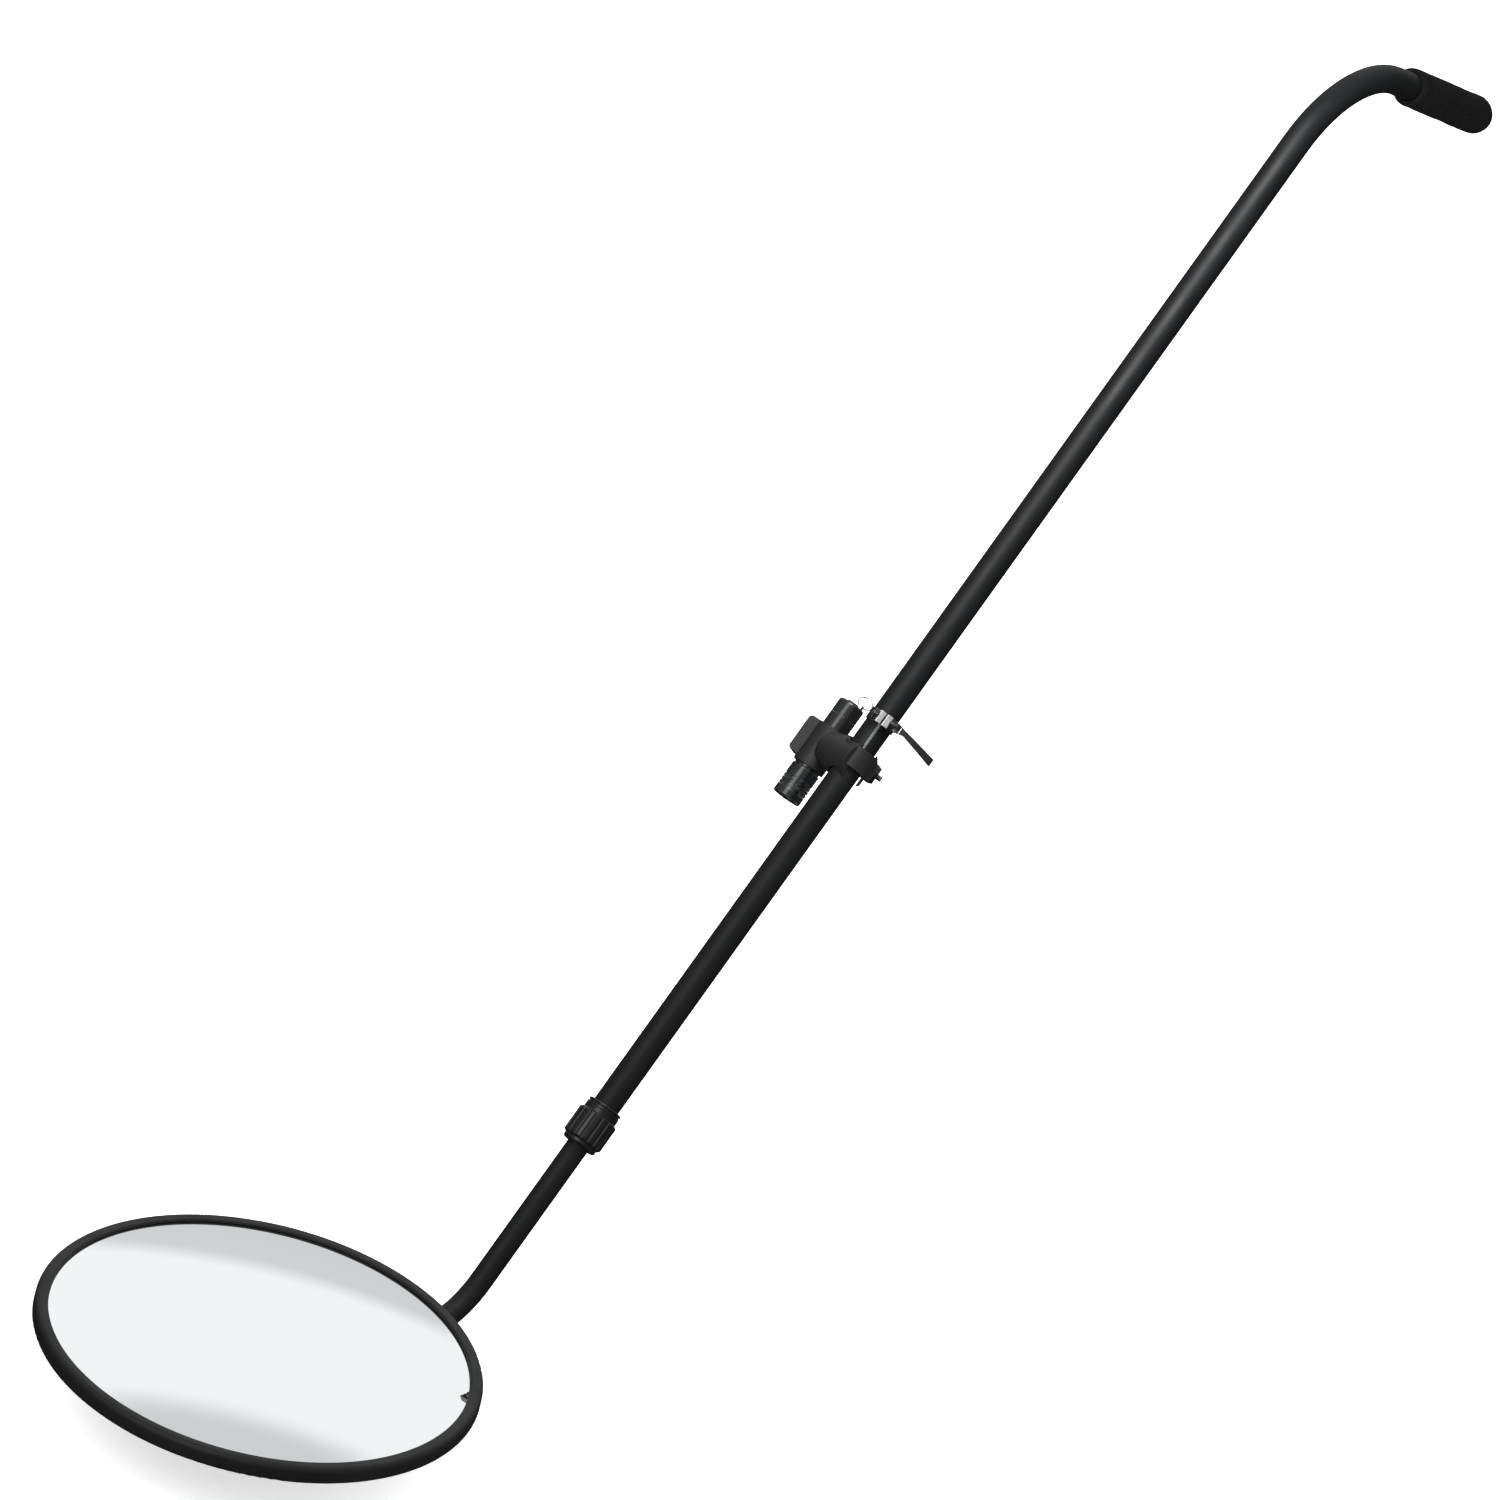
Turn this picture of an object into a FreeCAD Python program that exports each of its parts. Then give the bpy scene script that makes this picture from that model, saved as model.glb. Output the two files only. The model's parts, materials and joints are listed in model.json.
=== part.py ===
import FreeCAD, Part
import os
import re
import Sketcher

# Telescoping inspection mirror, in millimetres.
# The row frame's origin is on the grip's axis. +Z is the mirror's normal and the pole, its two
# bends and the mirror's centre all lie in the XZ plane, with the mirror at the -X end.

SIZES = {
    # Pole: both bends and the three tubes
    "pole_angle": 48.4,  # degrees between the pole and the mirror's plane
    "handle_droop": 30.0,  # degrees the handle falls below the mirror's plane
    "tube_od": 19.0,
    "tube_wall": 0.8,
    "lower_od": 15.6,
    "lower_wall": 1.2,
    "lower_bend": 60.0,
    "upper_bend": 80.0,
    "arm_length": 207.0,  # tube end at the mirror to the lower bend's corner
    "lower_rise": 250.7,  # straight tube above the lower bend
    "lower_show": 117.7,  # lower bend to the main tube's end
    "main_length": 340.7,
    "handle_rise": 465.1,  # straight tube below the upper bend
    "handle_straight": 124.0,  # straight tube beyond the upper bend
    "joint_gap": 0.5,
    # Clearances, each on the radius or on one side
    "slide_gap": 0.05,  # running fit
    "fit_gap": 0.02,  # fixed pieces
    "clear_gap": 0.3,  # pieces that pass each other
    # Telescope: the extension tube inside, its bushes and stops
    "extension_od": 16.4,
    "extension_wall": 1.2,
    "extension_up": 60.0,
    "extension_down": 200.0,
    "guide_length": 40.0,
    "clip_thick": 1.0,
    "stop_thick": 2.0,
    "plug_depth": 10.0,
    "shim_length": 30.0,
    "slot_width": 2.0,
    "slot_depth": 28.0,
    # Foam grip
    "grip_od": 26.8,
    "grip_hold": 96.0,  # its cylindrical stretch
    "grip_bevel": 3.0,
    "grip_cap": 7.0,  # foam beyond the tube's end
    # Twist collar at the main tube's lower end
    "collet_grip": 6.0,
    "collet_sleeve": 17.0,
    "collet_wall": 1.7,
    "collet_slits": 4.0,
    "collar_od": 28.6,
    "collar_end_od": 24.6,
    "collar_foot": 8.0,
    "collar_top": 19.0,
    "collar_flutes": 18.0,
    "flute_radius": 1.5,
    "ring_height": 4.0,
    "ring_groove": 0.8,
    # Quick-release clamp at the main tube's upper end
    "face_turn": 208.0,  # degrees from the pole frame's x axis to the clamps' front
    "band_wall": 1.0,
    "band_height": 8.3,
    "saddle_gap": 1.0,
    "saddle_left": 4.6,
    "saddle_right": 5.3,
    "saddle_reach": 5.4,
    "bolt_stand": 2.9,  # clamp bolt's axis beyond the band
    "bolt_d": 4.0,
    "nut_flats": 7.0,
    "nut_thick": 3.0,
    "washer_thick": 1.8,
    "barrel_d": 5.6,
    "barrel_height": 4.2,
    "cam_radius": 3.2,
    "cam_height": 6.6,
    "pin_d": 2.0,
    "lever_reach": 31.0,  # pin to tip
    "lever_drop": 5.0,
    "lever_root": 3.8,
    "lever_tip": 5.5,
    "lever_thick": 2.6,
    "lever_bow": 70.0,
    # Lamp bracket on the main tube
    "bracket_drop": 38.0,  # below the joint of the tubes
    "knuckle_turn": 219.0,  # degrees from the front to the swivel's axis
    "liner_wall": 1.0,
    "strap_wall": 2.15,
    "strap_height": 14.8,
    "strap_shift": 2.6,
    "boss_od": 28.8,
    "boss_back": 8.0,
    "boss_stand": 0.8,  # beyond the strap
    "boss_edge": 1.5,
    "mouth_near": 4.8,
    "mouth_far": 7.8,
    "lug_far": 12.0,
    "stud_gap": 1.9,  # strap to the stud's axis
    "thumb_od": 14.2,
    "thumb_length": 6.6,
    "stud_tip": 22.2,
    "disc_thick": 4.6,
    "screw_d": 5.0,
    "head_d": 9.0,
    "head_thick": 1.8,
    # Lamp and its clip
    "lamp_stand": 35.0,  # pole axis to lamp axis
    "lamp_od": 18.6,
    "clip_liner_wall": 0.8,
    "clip_wall": 1.4,
    "clip_low": 17.5,
    "clip_high": 12.4,
    "clip_base_od": 25.0,
    "ear_turn": 255.0,  # degrees from the front to the clip's ears
    "ear_reach": 17.8,
    "ear_width": 6.0,
    "ear_slit": 1.2,
    "ear_screw_d": 3.0,
    "ear_screw_stand": 14.6,
    "head_od": 20.4,
    "head_low": 37.4,
    "head_high": 19.2,
    "bezel_low": 42.5,
    "lens_thick": 1.5,
    "neck_od": 16.8,
    "cell_od": 14.5,
    "cell_length": 50.5,
    "cell_gap": 0.35,
    "cell_low": 25.8,
    "led_thick": 4.0,
    "tail_low": 22.2,
    "tail_high": 33.5,
    "tail_roof": 2.2,
    "button_od": 8.8,
    "button_proud": 1.1,
    "button_travel": 1.2,
    "ring_radius": 5.2,
    "ring_wire": 1.0,
    "ring_side": 6.6,  # lanyard eye's offset to the right and to the front of the lamp's axis
    "ring_front": 3.4,
    "ring_lift": 1.3,
    "ring_rest": 50.0,  # degrees the ring is raised from the tail's face
    # Mirror head, measured up from the tilt bolt
    "eye_stand": 14.0,  # tilt bolt to the tube's end
    "eye_od": 18.0,
    "eye_thick": 8.0,
    "cheek_thick": 3.0,
    "cheek_gap": 0.1,
    "tilt_bolt_d": 6.0,
    "knob_od": 18.0,
    "knob_thick": 8.0,
    "fork_web": 12.5,
    "fork_neck_od": 16.0,
    "fork_flange_od": 30.0,
    "flange_thick": 3.0,
    "plate_low": 41.4,
    "plate_od": 64.0,
    "plate_thick": 2.5,
    "plate_pcd": 48.0,
    "plate_screw_d": 4.0,
    "stud_d": 10.0,
    "shell_thick": 2.0,
    "shell_hole": 20.0,
    "mirror_lift": 50.0,  # tilt bolt to the rim's mid height
    "rim_od": 300.0,
    "rim_wide": 9.0,
    "rim_high": 12.5,
    "rim_bite": 4.5,
    "dome_thick": 2.0,
    "backing_thick": 3.0,
    "dome_radius": 720.0,
}

doc = FreeCAD.newDocument("InspectionMirror")
sheet = doc.addObject("Spreadsheet::Sheet", "Sizes")
for row, (alias, amount) in enumerate(SIZES.items(), start=1):
    sheet.set(f"A{row}", alias)
    sheet.set(f"B{row}", repr(amount))
    sheet.setAlias(f"B{row}", alias)
doc.recompute()

subparts = []


# ---------------------------------------------------------------- helpers

def number(text):
    """The value of an expression written in the sheet's names."""
    return float(sheet.evalExpression(text))


def bound(text):
    """The same expression, as another object of the document has to write it."""
    return re.sub(r"[a-z]\w*", lambda word: "Sizes." + word[0] if word[0] in SIZES else word[0], text)


def subpart(label, place):
    """An empty body for one sub-part."""
    body = doc.addObject("PartDesign::Body", "Body")
    body.Label = label
    body.Placement = place
    subparts.append(body)
    return body


def sketch_on(body, plane, offset="0", turn="0"):
    """A sketch on an origin plane, moved along its normal and turned about the body's z axis."""
    sketch = body.newObject("Sketcher::SketchObject", "Sketch")
    role = plane + "_Plane"
    support = next(item for item in body.Origin.OriginFeatures if item.Role == role)
    sketch.AttachmentSupport = [(support, "")]
    sketch.MapMode = "FlatFace"
    upright = FreeCAD.Vector(0, 0, 1) if plane == "XY" else FreeCAD.Vector(0, 1, 0)
    spin = FreeCAD.Rotation(upright, number(turn))
    sketch.AttachmentOffset = FreeCAD.Placement(spin.multVec(FreeCAD.Vector(0, 0, number(offset))), spin)
    if number(turn) == 0:
        sketch.setExpression("AttachmentOffset.Base.z", bound(offset))
    return sketch


def pin_point(sketch, element, vertex, x, y):
    """Tie one point of the sketch to two expressions."""
    for kind, text in (("DistanceX", x), ("DistanceY", y)):
        fixed = sketch.addConstraint(Sketcher.Constraint(kind, -1, 1, element, vertex, number(text)))
        sketch.setExpression(f"Constraints[{fixed}]", bound(text))


def draw_side(sketch, start, end, radius):
    """A line, or an arc that turns left for a positive radius; gives its index and its first end."""
    near = FreeCAD.Vector(start[0], start[1], 0)
    far = FreeCAD.Vector(end[0], end[1], 0)
    if not radius:
        return sketch.addGeometry(Part.LineSegment(near, far), False), 1
    size = number(radius)
    first, last = (near, far) if size > 0 else (far, near)
    chord = last - first
    rise = (size * size - chord.Length ** 2 / 4) ** 0.5
    left = FreeCAD.Vector(-chord.y, chord.x, 0).normalize()
    centre = (first + last) / 2 + left * rise
    circle = Part.Circle(centre, FreeCAD.Vector(0, 0, 1), abs(size))
    arc = Part.ArcOfCircle(circle, circle.parameter(first), circle.parameter(last))
    index = sketch.addGeometry(arc, False)
    fixed = sketch.addConstraint(Sketcher.Constraint("Radius", index, abs(size)))
    sketch.setExpression(f"Constraints[{fixed}]", bound(f"abs({radius})"))
    return index, 1 if size > 0 else 2


def outline(sketch, points, closed=True):
    """Sides through points (x, y), or (x, y, radius) where an arc leads to the next point."""
    places = [(number(point[0]), number(point[1])) for point in points]
    count = len(points) if closed else len(points) - 1
    sides = []
    for index in range(count):
        radius = points[index][2] if len(points[index]) > 2 else None
        following = places[(index + 1) % len(points)]
        sides.append(draw_side(sketch, places[index], following, radius))
    for index in range(len(points)):
        side, first = sides[min(index, count - 1)]
        vertex = first if index < count else 3 - first
        pin_point(sketch, side, vertex, points[index][0], points[index][1])
    for index in range(count if closed else count - 1):
        side, first = sides[index]
        after, after_first = sides[(index + 1) % count]
        sketch.addConstraint(Sketcher.Constraint("Coincident", side, 3 - first, after, after_first))


def circles(sketch, *rounds):
    """Circles given as (x, y, radius)."""
    for x, y, radius in rounds:
        middle = FreeCAD.Vector(number(x), number(y), 0)
        ring = Part.Circle(middle, FreeCAD.Vector(0, 0, 1), number(radius))
        index = sketch.addGeometry(ring, False)
        pin_point(sketch, index, 3, x, y)
        fixed = sketch.addConstraint(Sketcher.Constraint("Radius", index, number(radius)))
        sketch.setExpression(f"Constraints[{fixed}]", bound(radius))


def box_points(x_low, y_low, x_high, y_high):
    """The four corners of a rectangle."""
    return [(x_low, y_low), (x_high, y_low), (x_high, y_high), (x_low, y_high)]


def rounded_points(x_low, y_low, x_high, y_high, corner):
    """A rectangle whose two corners at x_high are rounded."""
    return [
        (x_low, y_low),
        (f"{x_high} - ({corner})", y_low, corner),
        (x_high, f"{y_low} + ({corner})"),
        (x_high, f"{y_high} - ({corner})", corner),
        (f"{x_high} - ({corner})", y_high),
        (x_low, y_high),
    ]


def hexagon_points(x, y, flats):
    """A hexagon of a given size across its flats."""
    corner = f"({flats}) / sqrt(3)"
    turns = range(0, 360, 60)
    return [(f"{x} + {corner} * cos({turn})", f"{y} + {corner} * sin({turn})") for turn in turns]


def extrude(body, kind, sketch, length):
    """Pad or Pocket from the sketch along its plane's normal."""
    before = body.Shape.Volume if kind == "Pocket" else 0
    feature = body.newObject("PartDesign::" + kind, kind)
    feature.Profile = sketch
    feature.Reversed = kind == "Pocket"
    feature.setExpression("Length", bound(length))
    doc.recompute()
    if kind == "Pocket" and body.Shape.Volume > before - 0.01:
        raise RuntimeError(f"a pocket of {body.Label} cuts nothing")
    return feature


def pad(body, plane, start, length, points, turn="0"):
    """Material from an outline."""
    sketch = sketch_on(body, plane, start, turn)
    outline(sketch, points)
    return extrude(body, "Pad", sketch, length)


def pocket(body, plane, start, length, points, turn="0"):
    """A cut from an outline."""
    sketch = sketch_on(body, plane, start, turn)
    outline(sketch, points)
    return extrude(body, "Pocket", sketch, length)


def round_pad(body, plane, start, length, *rounds, turn="0"):
    """Material from circles."""
    sketch = sketch_on(body, plane, start, turn)
    circles(sketch, *rounds)
    return extrude(body, "Pad", sketch, length)


def round_pocket(body, plane, start, length, *rounds, turn="0"):
    """Round cuts."""
    sketch = sketch_on(body, plane, start, turn)
    circles(sketch, *rounds)
    return extrude(body, "Pocket", sketch, length)


def revolve(body, points, kind="Revolution"):
    """Material, or a Groove, turned about the body's z axis from an outline of (radius, height)."""
    before = body.Shape.Volume if kind == "Groove" else 0
    sketch = sketch_on(body, "XZ")
    outline(sketch, points)
    feature = body.newObject("PartDesign::" + kind, kind)
    feature.Profile = sketch
    feature.ReferenceAxis = (sketch, ["V_Axis"])
    feature.Angle = 360
    doc.recompute()
    if kind == "Groove" and body.Shape.Volume > before - 0.01:
        raise RuntimeError(f"a groove of {body.Label} cuts nothing")
    return feature


def turned(label, place, points):
    """A sub-part that is one turned outline."""
    body = subpart(label, place)
    revolve(body, points)
    return body


def sleeve(label, place, inner, outer, low, high):
    """A plain ring or tube."""
    return turned(label, place, box_points(inner, low, outer, high))


def around(body, feature, count):
    """Repeat a feature evenly about the body's z axis."""
    pattern = body.newObject("PartDesign::PolarPattern", "Pattern")
    pattern.Originals = [feature]
    axis = next(item for item in body.Origin.OriginFeatures if item.Role == "Z_Axis")
    pattern.Axis = (axis, [""])
    pattern.Angle = 360
    pattern.setExpression("Occurrences", bound(count))
    body.Tip = pattern
    doc.recompute()
    return pattern


def swept(label, place, start_plane, start, rounds, route):
    """A pipe: circles on a plane, led along an open route in the XZ plane."""
    body = subpart(label, place)
    path = sketch_on(body, "XZ")
    outline(path, route, closed=False)
    profile = sketch_on(body, start_plane, start)
    circles(profile, *rounds)
    pipe = body.newObject("PartDesign::AdditivePipe", "Pipe")
    pipe.Profile = profile
    pipe.Spine = path
    doc.recompute()
    return body


# ---------------------------------------------------------------- frames

def tilted(x, z, tilt):
    """A frame in the XZ plane, its z axis leaning towards +X by tilt degrees."""
    return FreeCAD.Placement(FreeCAD.Vector(x, 0, z), FreeCAD.Rotation(FreeCAD.Vector(0, 1, 0), tilt))


def along(place, height, turn=0.0, x=0.0, y=0.0):
    """A frame moved in another one and turned about its z axis."""
    spin = FreeCAD.Rotation(FreeCAD.Vector(0, 0, 1), turn)
    return place.multiply(FreeCAD.Placement(FreeCAD.Vector(x, y, height), spin))


UPPER_TURN = "(pole_angle + handle_droop)"
UPPER_TANGENT = f"(upper_bend * tan({UPPER_TURN} / 2))"
LOWER_TANGENT = "(lower_bend * tan(pole_angle / 2))"
TUBE_BORE = "(tube_od / 2 - tube_wall)"
GRIP_TUBE_END = "(grip_hold / 2 + grip_od / 2 - grip_cap)"

grip_place = tilted(0, 0, 90 + number("handle_droop"))
corner_place = along(grip_place, number(f"{GRIP_TUBE_END} - handle_straight - {UPPER_TANGENT}"))
pole_place = tilted(corner_place.Base.x, corner_place.Base.z, 90 - number("pole_angle"))
pole_place = along(pole_place, -number(f"handle_rise + {UPPER_TANGENT}"))
low_place = along(pole_place, -number("joint_gap + main_length"))
foot_place = along(low_place, -number(f"lower_show + {LOWER_TANGENT}"))
arm_place = tilted(foot_place.Base.x, foot_place.Base.z, 0)
tilt_place = tilted(arm_place.Base.x - number("arm_length + eye_stand"), arm_place.Base.z, 0)
front_place = along(pole_place, 0, number("face_turn"))
clamp_place = along(front_place, -number("joint_gap + band_height / 2"))
bracket_place = along(front_place, -number("bracket_drop"))
lamp_place = along(
    bracket_place,
    0,
    0,
    number("lamp_stand * cos(knuckle_turn)"),
    number("lamp_stand * sin(knuckle_turn)"),
)


# ---------------------------------------------------------------- handle

def handle_tube():
    beyond = f"({UPPER_TANGENT} + handle_straight)"
    route = [
        ("0", "0"),
        ("0", "handle_rise", "-upper_bend"),
        (f"{UPPER_TANGENT} * sin({UPPER_TURN})", f"handle_rise + {UPPER_TANGENT} * (1 + cos({UPPER_TURN}))"),
        (
            f"{beyond} * sin({UPPER_TURN})",
            f"handle_rise + {UPPER_TANGENT} + {beyond} * cos({UPPER_TURN})",
        ),
    ]
    rounds = [("0", "0", "tube_od / 2"), ("0", "0", TUBE_BORE)]
    swept("handle_tube", pole_place, "XY", "0", rounds, route)


def grip():
    near = "(0 - grip_hold / 2)"
    far = "(grip_hold / 2)"
    bore = "(tube_od / 2 + fit_gap)"
    points = [
        (bore, f"{near} - grip_bevel"),
        ("grip_od / 2 - grip_bevel / 2", f"{near} - grip_bevel"),
        ("grip_od / 2", near),
        ("grip_od / 2", far, "grip_od / 2"),
        ("0", f"{far} + grip_od / 2"),
        ("0", f"{GRIP_TUBE_END} + stop_thick"),
        (bore, f"{GRIP_TUBE_END} + stop_thick"),
    ]
    turned("foam_grip", grip_place, points)
    plug = f"({TUBE_BORE} - fit_gap)"
    points = [
        ("0", f"{GRIP_TUBE_END} - plug_depth"),
        (plug, f"{GRIP_TUBE_END} - plug_depth"),
        (plug, GRIP_TUBE_END),
        ("tube_od / 2", GRIP_TUBE_END),
        ("tube_od / 2", f"{GRIP_TUBE_END} + stop_thick"),
        ("0", f"{GRIP_TUBE_END} + stop_thick"),
    ]
    turned("grip_plug", grip_place, points)


def telescope():
    """The extension tube that the main tube slides and turns on, with its sleeve, bush and stops."""
    outer = "(extension_od / 2)"
    inner = "(extension_od / 2 - extension_wall)"
    low = "(0 - extension_down)"
    guide_top = f"({low} + guide_length)"
    flange = f"({TUBE_BORE} - clear_gap)"
    sleeve("extension_tube", pole_place, inner, outer, low, "extension_up")
    sleeve("packing_sleeve", pole_place, f"{outer} + fit_gap", f"{TUBE_BORE} - fit_gap",
           "stop_thick", "extension_up - stop_thick")
    sleeve("upper_guide", pole_place, f"{outer} + slide_gap", f"{TUBE_BORE} - slide_gap",
           f"{low} + slide_gap", guide_top)
    sleeve("upper_clip", pole_place, f"{outer} + fit_gap", flange,
           f"{guide_top} + slide_gap", f"{guide_top} + slide_gap + clip_thick")
    end_stop("upper_stop", pole_place, low, f"{inner} - fit_gap", flange, -1)


def end_stop(label, place, end, plug, flange, way):
    """A plug in a tube's end whose flange keeps a bush on; way is +1 at an upper end, -1 at a lower."""
    back = f"{end} - ({way}) * plug_depth"
    cap = f"{end} + ({way}) * stop_thick"
    points = [("0", back), (plug, back), (plug, end), (flange, end), (flange, cap), ("0", cap)]
    turned(label, place, points)


# ---------------------------------------------------------------- main tube and its collar

def main_tube():
    """The middle tube and the shim in its slotted top end."""
    top = "(0 - joint_gap)"
    tube = subpart("main_tube", front_place)
    revolve(tube, box_points(TUBE_BORE, f"{top} - main_length", "tube_od / 2", top))
    slot = box_points("0", "0 - slot_width / 2", "tube_od", "slot_width / 2")
    pocket(tube, "XY", f"{top} - slot_depth", "slot_depth + joint_gap", slot)
    shim = subpart("clamp_shim", front_place)
    inner = "(extension_od / 2 + slide_gap)"
    revolve(shim, box_points(inner, f"{top} - shim_length", f"{TUBE_BORE} - fit_gap", top))
    pocket(shim, "XY", f"{top} - shim_length - joint_gap", "shim_length + 2 * joint_gap", slot)


def collet():
    """Slit jaws and a threaded sleeve on the main tube's lower end."""
    jaw = "(lower_od / 2 + slide_gap)"
    thread = "(tube_od / 2 + collet_wall)"
    bore = "(tube_od / 2 + fit_gap)"
    body = subpart("collet", low_place)
    points = [
        (jaw, "0 - collet_grip"),
        (f"{thread} - 2", "0 - collet_grip"),
        (f"{thread} - 1", "0 - clip_thick"),
        (thread, "0"),
        (thread, "collet_sleeve"),
        (bore, "collet_sleeve"),
        (bore, "0"),
        (jaw, "0"),
    ]
    revolve(body, points)
    slit = box_points("0", "0 - slot_width / 2", "collar_od / 2", "slot_width / 2")
    cut = pocket(body, "XY", "0 - collet_grip", "collet_grip - clip_thick", slit)
    around(body, cut, "collet_slits")


def twist_collar():
    """The fluted collar that squeezes the collet."""
    thread = "(tube_od / 2 + collet_wall + 2 * slide_gap)"
    waist = "(collar_end_od / 2)"
    body = subpart("twist_collar", low_place)
    points = [
        ("lower_od / 2 + clear_gap", "0 - collar_foot"),
        (f"{waist} - 1", "0 - collar_foot"),
        (waist, "1 - collar_foot"),
        (waist, "3 - collar_foot"),
        ("collar_od / 2", "4.6 - collar_foot"),
        ("collar_od / 2", "collar_top - 4.4"),
        (waist, "collar_top - 3"),
        (waist, "collar_top"),
        (thread, "collar_top"),
        (thread, "0"),
        (f"{thread} - 1 + clear_gap", "0 - clip_thick"),
        (f"{thread} - 2 + clear_gap", "0 - collet_grip - clear_gap"),
        ("lower_od / 2 + clear_gap", "0 - collet_grip - clear_gap"),
    ]
    revolve(body, points)
    groove = ("collar_od / 2 + flute_radius / 2", "0", "flute_radius")
    cut = round_pocket(body, "XY", "3 - collar_foot", "collar_top + collar_foot - 6", groove)
    around(body, cut, "collar_flutes")


def collar_ring():
    """The grooved ring that covers the collet's upper end."""
    low = "(collar_top + clear_gap)"
    high = f"({low} + ring_height)"
    body = subpart("collar_ring", low_place)
    rim = "(collar_end_od / 2)"
    points = [
        ("tube_od / 2 + fit_gap", low),
        (rim, low),
        (rim, f"{low} + 0.35 * ring_height"),
        (f"{rim} - ring_groove", f"{low} + 0.45 * ring_height"),
        (f"{rim} - ring_groove", f"{low} + 0.6 * ring_height"),
        (rim, f"{low} + 0.7 * ring_height"),
        (rim, f"{high} - ring_groove / 2"),
        (f"{rim} - ring_groove / 2", high),
        ("tube_od / 2 + fit_gap", high),
    ]
    revolve(body, points)


# ---------------------------------------------------------------- lower tube

def lower_tube():
    beyond = f"({LOWER_TANGENT} + lower_rise)"
    route = [
        ("0 - arm_length", "0"),
        (f"0 - {LOWER_TANGENT}", "0", "lower_bend"),
        (f"{LOWER_TANGENT} * cos(pole_angle)", f"{LOWER_TANGENT} * sin(pole_angle)"),
        (f"{beyond} * cos(pole_angle)", f"{beyond} * sin(pole_angle)"),
    ]
    rounds = [("0", "0", "lower_od / 2"), ("0", "0", "lower_od / 2 - lower_wall")]
    swept("lower_tube", arm_place, "YZ", "0 - arm_length", rounds, route)


def lower_guide():
    """The bush on the lower tube's top end, inside the main tube, and what keeps it there."""
    outer = "(lower_od / 2)"
    top = "(lower_rise - lower_show)"
    low = f"({top} - guide_length)"
    flange = f"({TUBE_BORE} - clear_gap)"
    sleeve("lower_guide", low_place, f"{outer} + slide_gap", f"{TUBE_BORE} - slide_gap",
           low, f"{top} - slide_gap")
    sleeve("lower_clip", low_place, f"{outer} + fit_gap", flange,
           f"{low} - slide_gap - clip_thick", f"{low} - slide_gap")
    end_stop("lower_stop", low_place, top, f"{outer} - lower_wall - fit_gap", flange, 1)


# ---------------------------------------------------------------- quick-release clamp

BAND_OUT = "(tube_od / 2 + band_wall)"
BOLT_X = f"({BAND_OUT} + bolt_stand)"
PIN_Y = "(saddle_right + washer_thick + cam_radius)"


def clamp_band():
    half = "(band_height / 2)"
    body = subpart("clamp_band", clamp_place)
    revolve(body, box_points("tube_od / 2 + fit_gap", f"0 - {half}", BAND_OUT, half))
    mouth = box_points("0", "0 - saddle_gap / 2", "tube_od", "saddle_gap / 2")
    pocket(body, "XY", f"0 - {half}", "band_height", mouth)


def clamp_saddle():
    """Two bright cheeks on the band's ends."""
    half = "(band_height / 2)"
    face = f"{BAND_OUT} + saddle_reach"
    body = subpart("clamp_saddle", clamp_place)
    right = rounded_points("tube_od / 4", "saddle_gap / 2", face, "saddle_right", "saddle_gap")
    left = [
        ("tube_od / 4", "0 - saddle_left"),
        (f"{face} - saddle_gap", "0 - saddle_left", "saddle_gap"),
        (face, "saddle_gap - saddle_left"),
        (face, "0 - saddle_gap / 2"),
        ("tube_od / 4", "0 - saddle_gap / 2"),
    ]
    pad(body, "XY", f"0 - {half}", "band_height", right)
    pad(body, "XY", f"0 - {half}", "band_height", left)
    round_pocket(body, "XY", f"0 - {half}", "band_height", ("0", "0", f"{BAND_OUT} + fit_gap"))
    round_pocket(body, "XZ", "0 - tube_od", "2 * tube_od", (BOLT_X, "0", "bolt_d / 2 + slide_gap"))


def clamp_bolt():
    """Eye bolt across the two cheeks, with its barrel on the lever's pin."""
    low = "(0 - saddle_left - nut_thick - 1)"
    body = subpart("clamp_bolt", clamp_place)
    round_pad(body, "XZ", f"0 - {PIN_Y}", f"{PIN_Y} - {low}", (BOLT_X, "0", "bolt_d / 2"))
    round_pad(body, "XY", "0 - barrel_height / 2", "barrel_height", (BOLT_X, PIN_Y, "barrel_d / 2"))
    round_pocket(body, "XY", "0 - barrel_height / 2", "barrel_height",
                 (BOLT_X, PIN_Y, "pin_d / 2 + slide_gap"))


def clamp_nut():
    body = subpart("clamp_nut", clamp_place)
    pad(body, "XZ", "saddle_left + fit_gap", "nut_thick", hexagon_points(BOLT_X, "0", "nut_flats"))
    round_pocket(body, "XZ", "saddle_left", "2 * nut_thick", (BOLT_X, "0", "bolt_d / 2 + fit_gap"))


def clamp_washer():
    """The cam's seat, hollowed to the cam."""
    body = subpart("clamp_washer", clamp_place)
    seat = f"({PIN_Y} - slide_gap)"
    round_pad(body, "XZ", f"0 - {seat}", f"{seat} - saddle_right - fit_gap", (BOLT_X, "0", "cam_height / 2"))
    round_pocket(body, "XZ", "0 - tube_od", "tube_od", (BOLT_X, "0", "bolt_d / 2 + slide_gap"))
    round_pocket(body, "XY", "0 - cam_height", "2 * cam_height",
                 (BOLT_X, PIN_Y, "cam_radius + 2 * slide_gap"))


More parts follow.
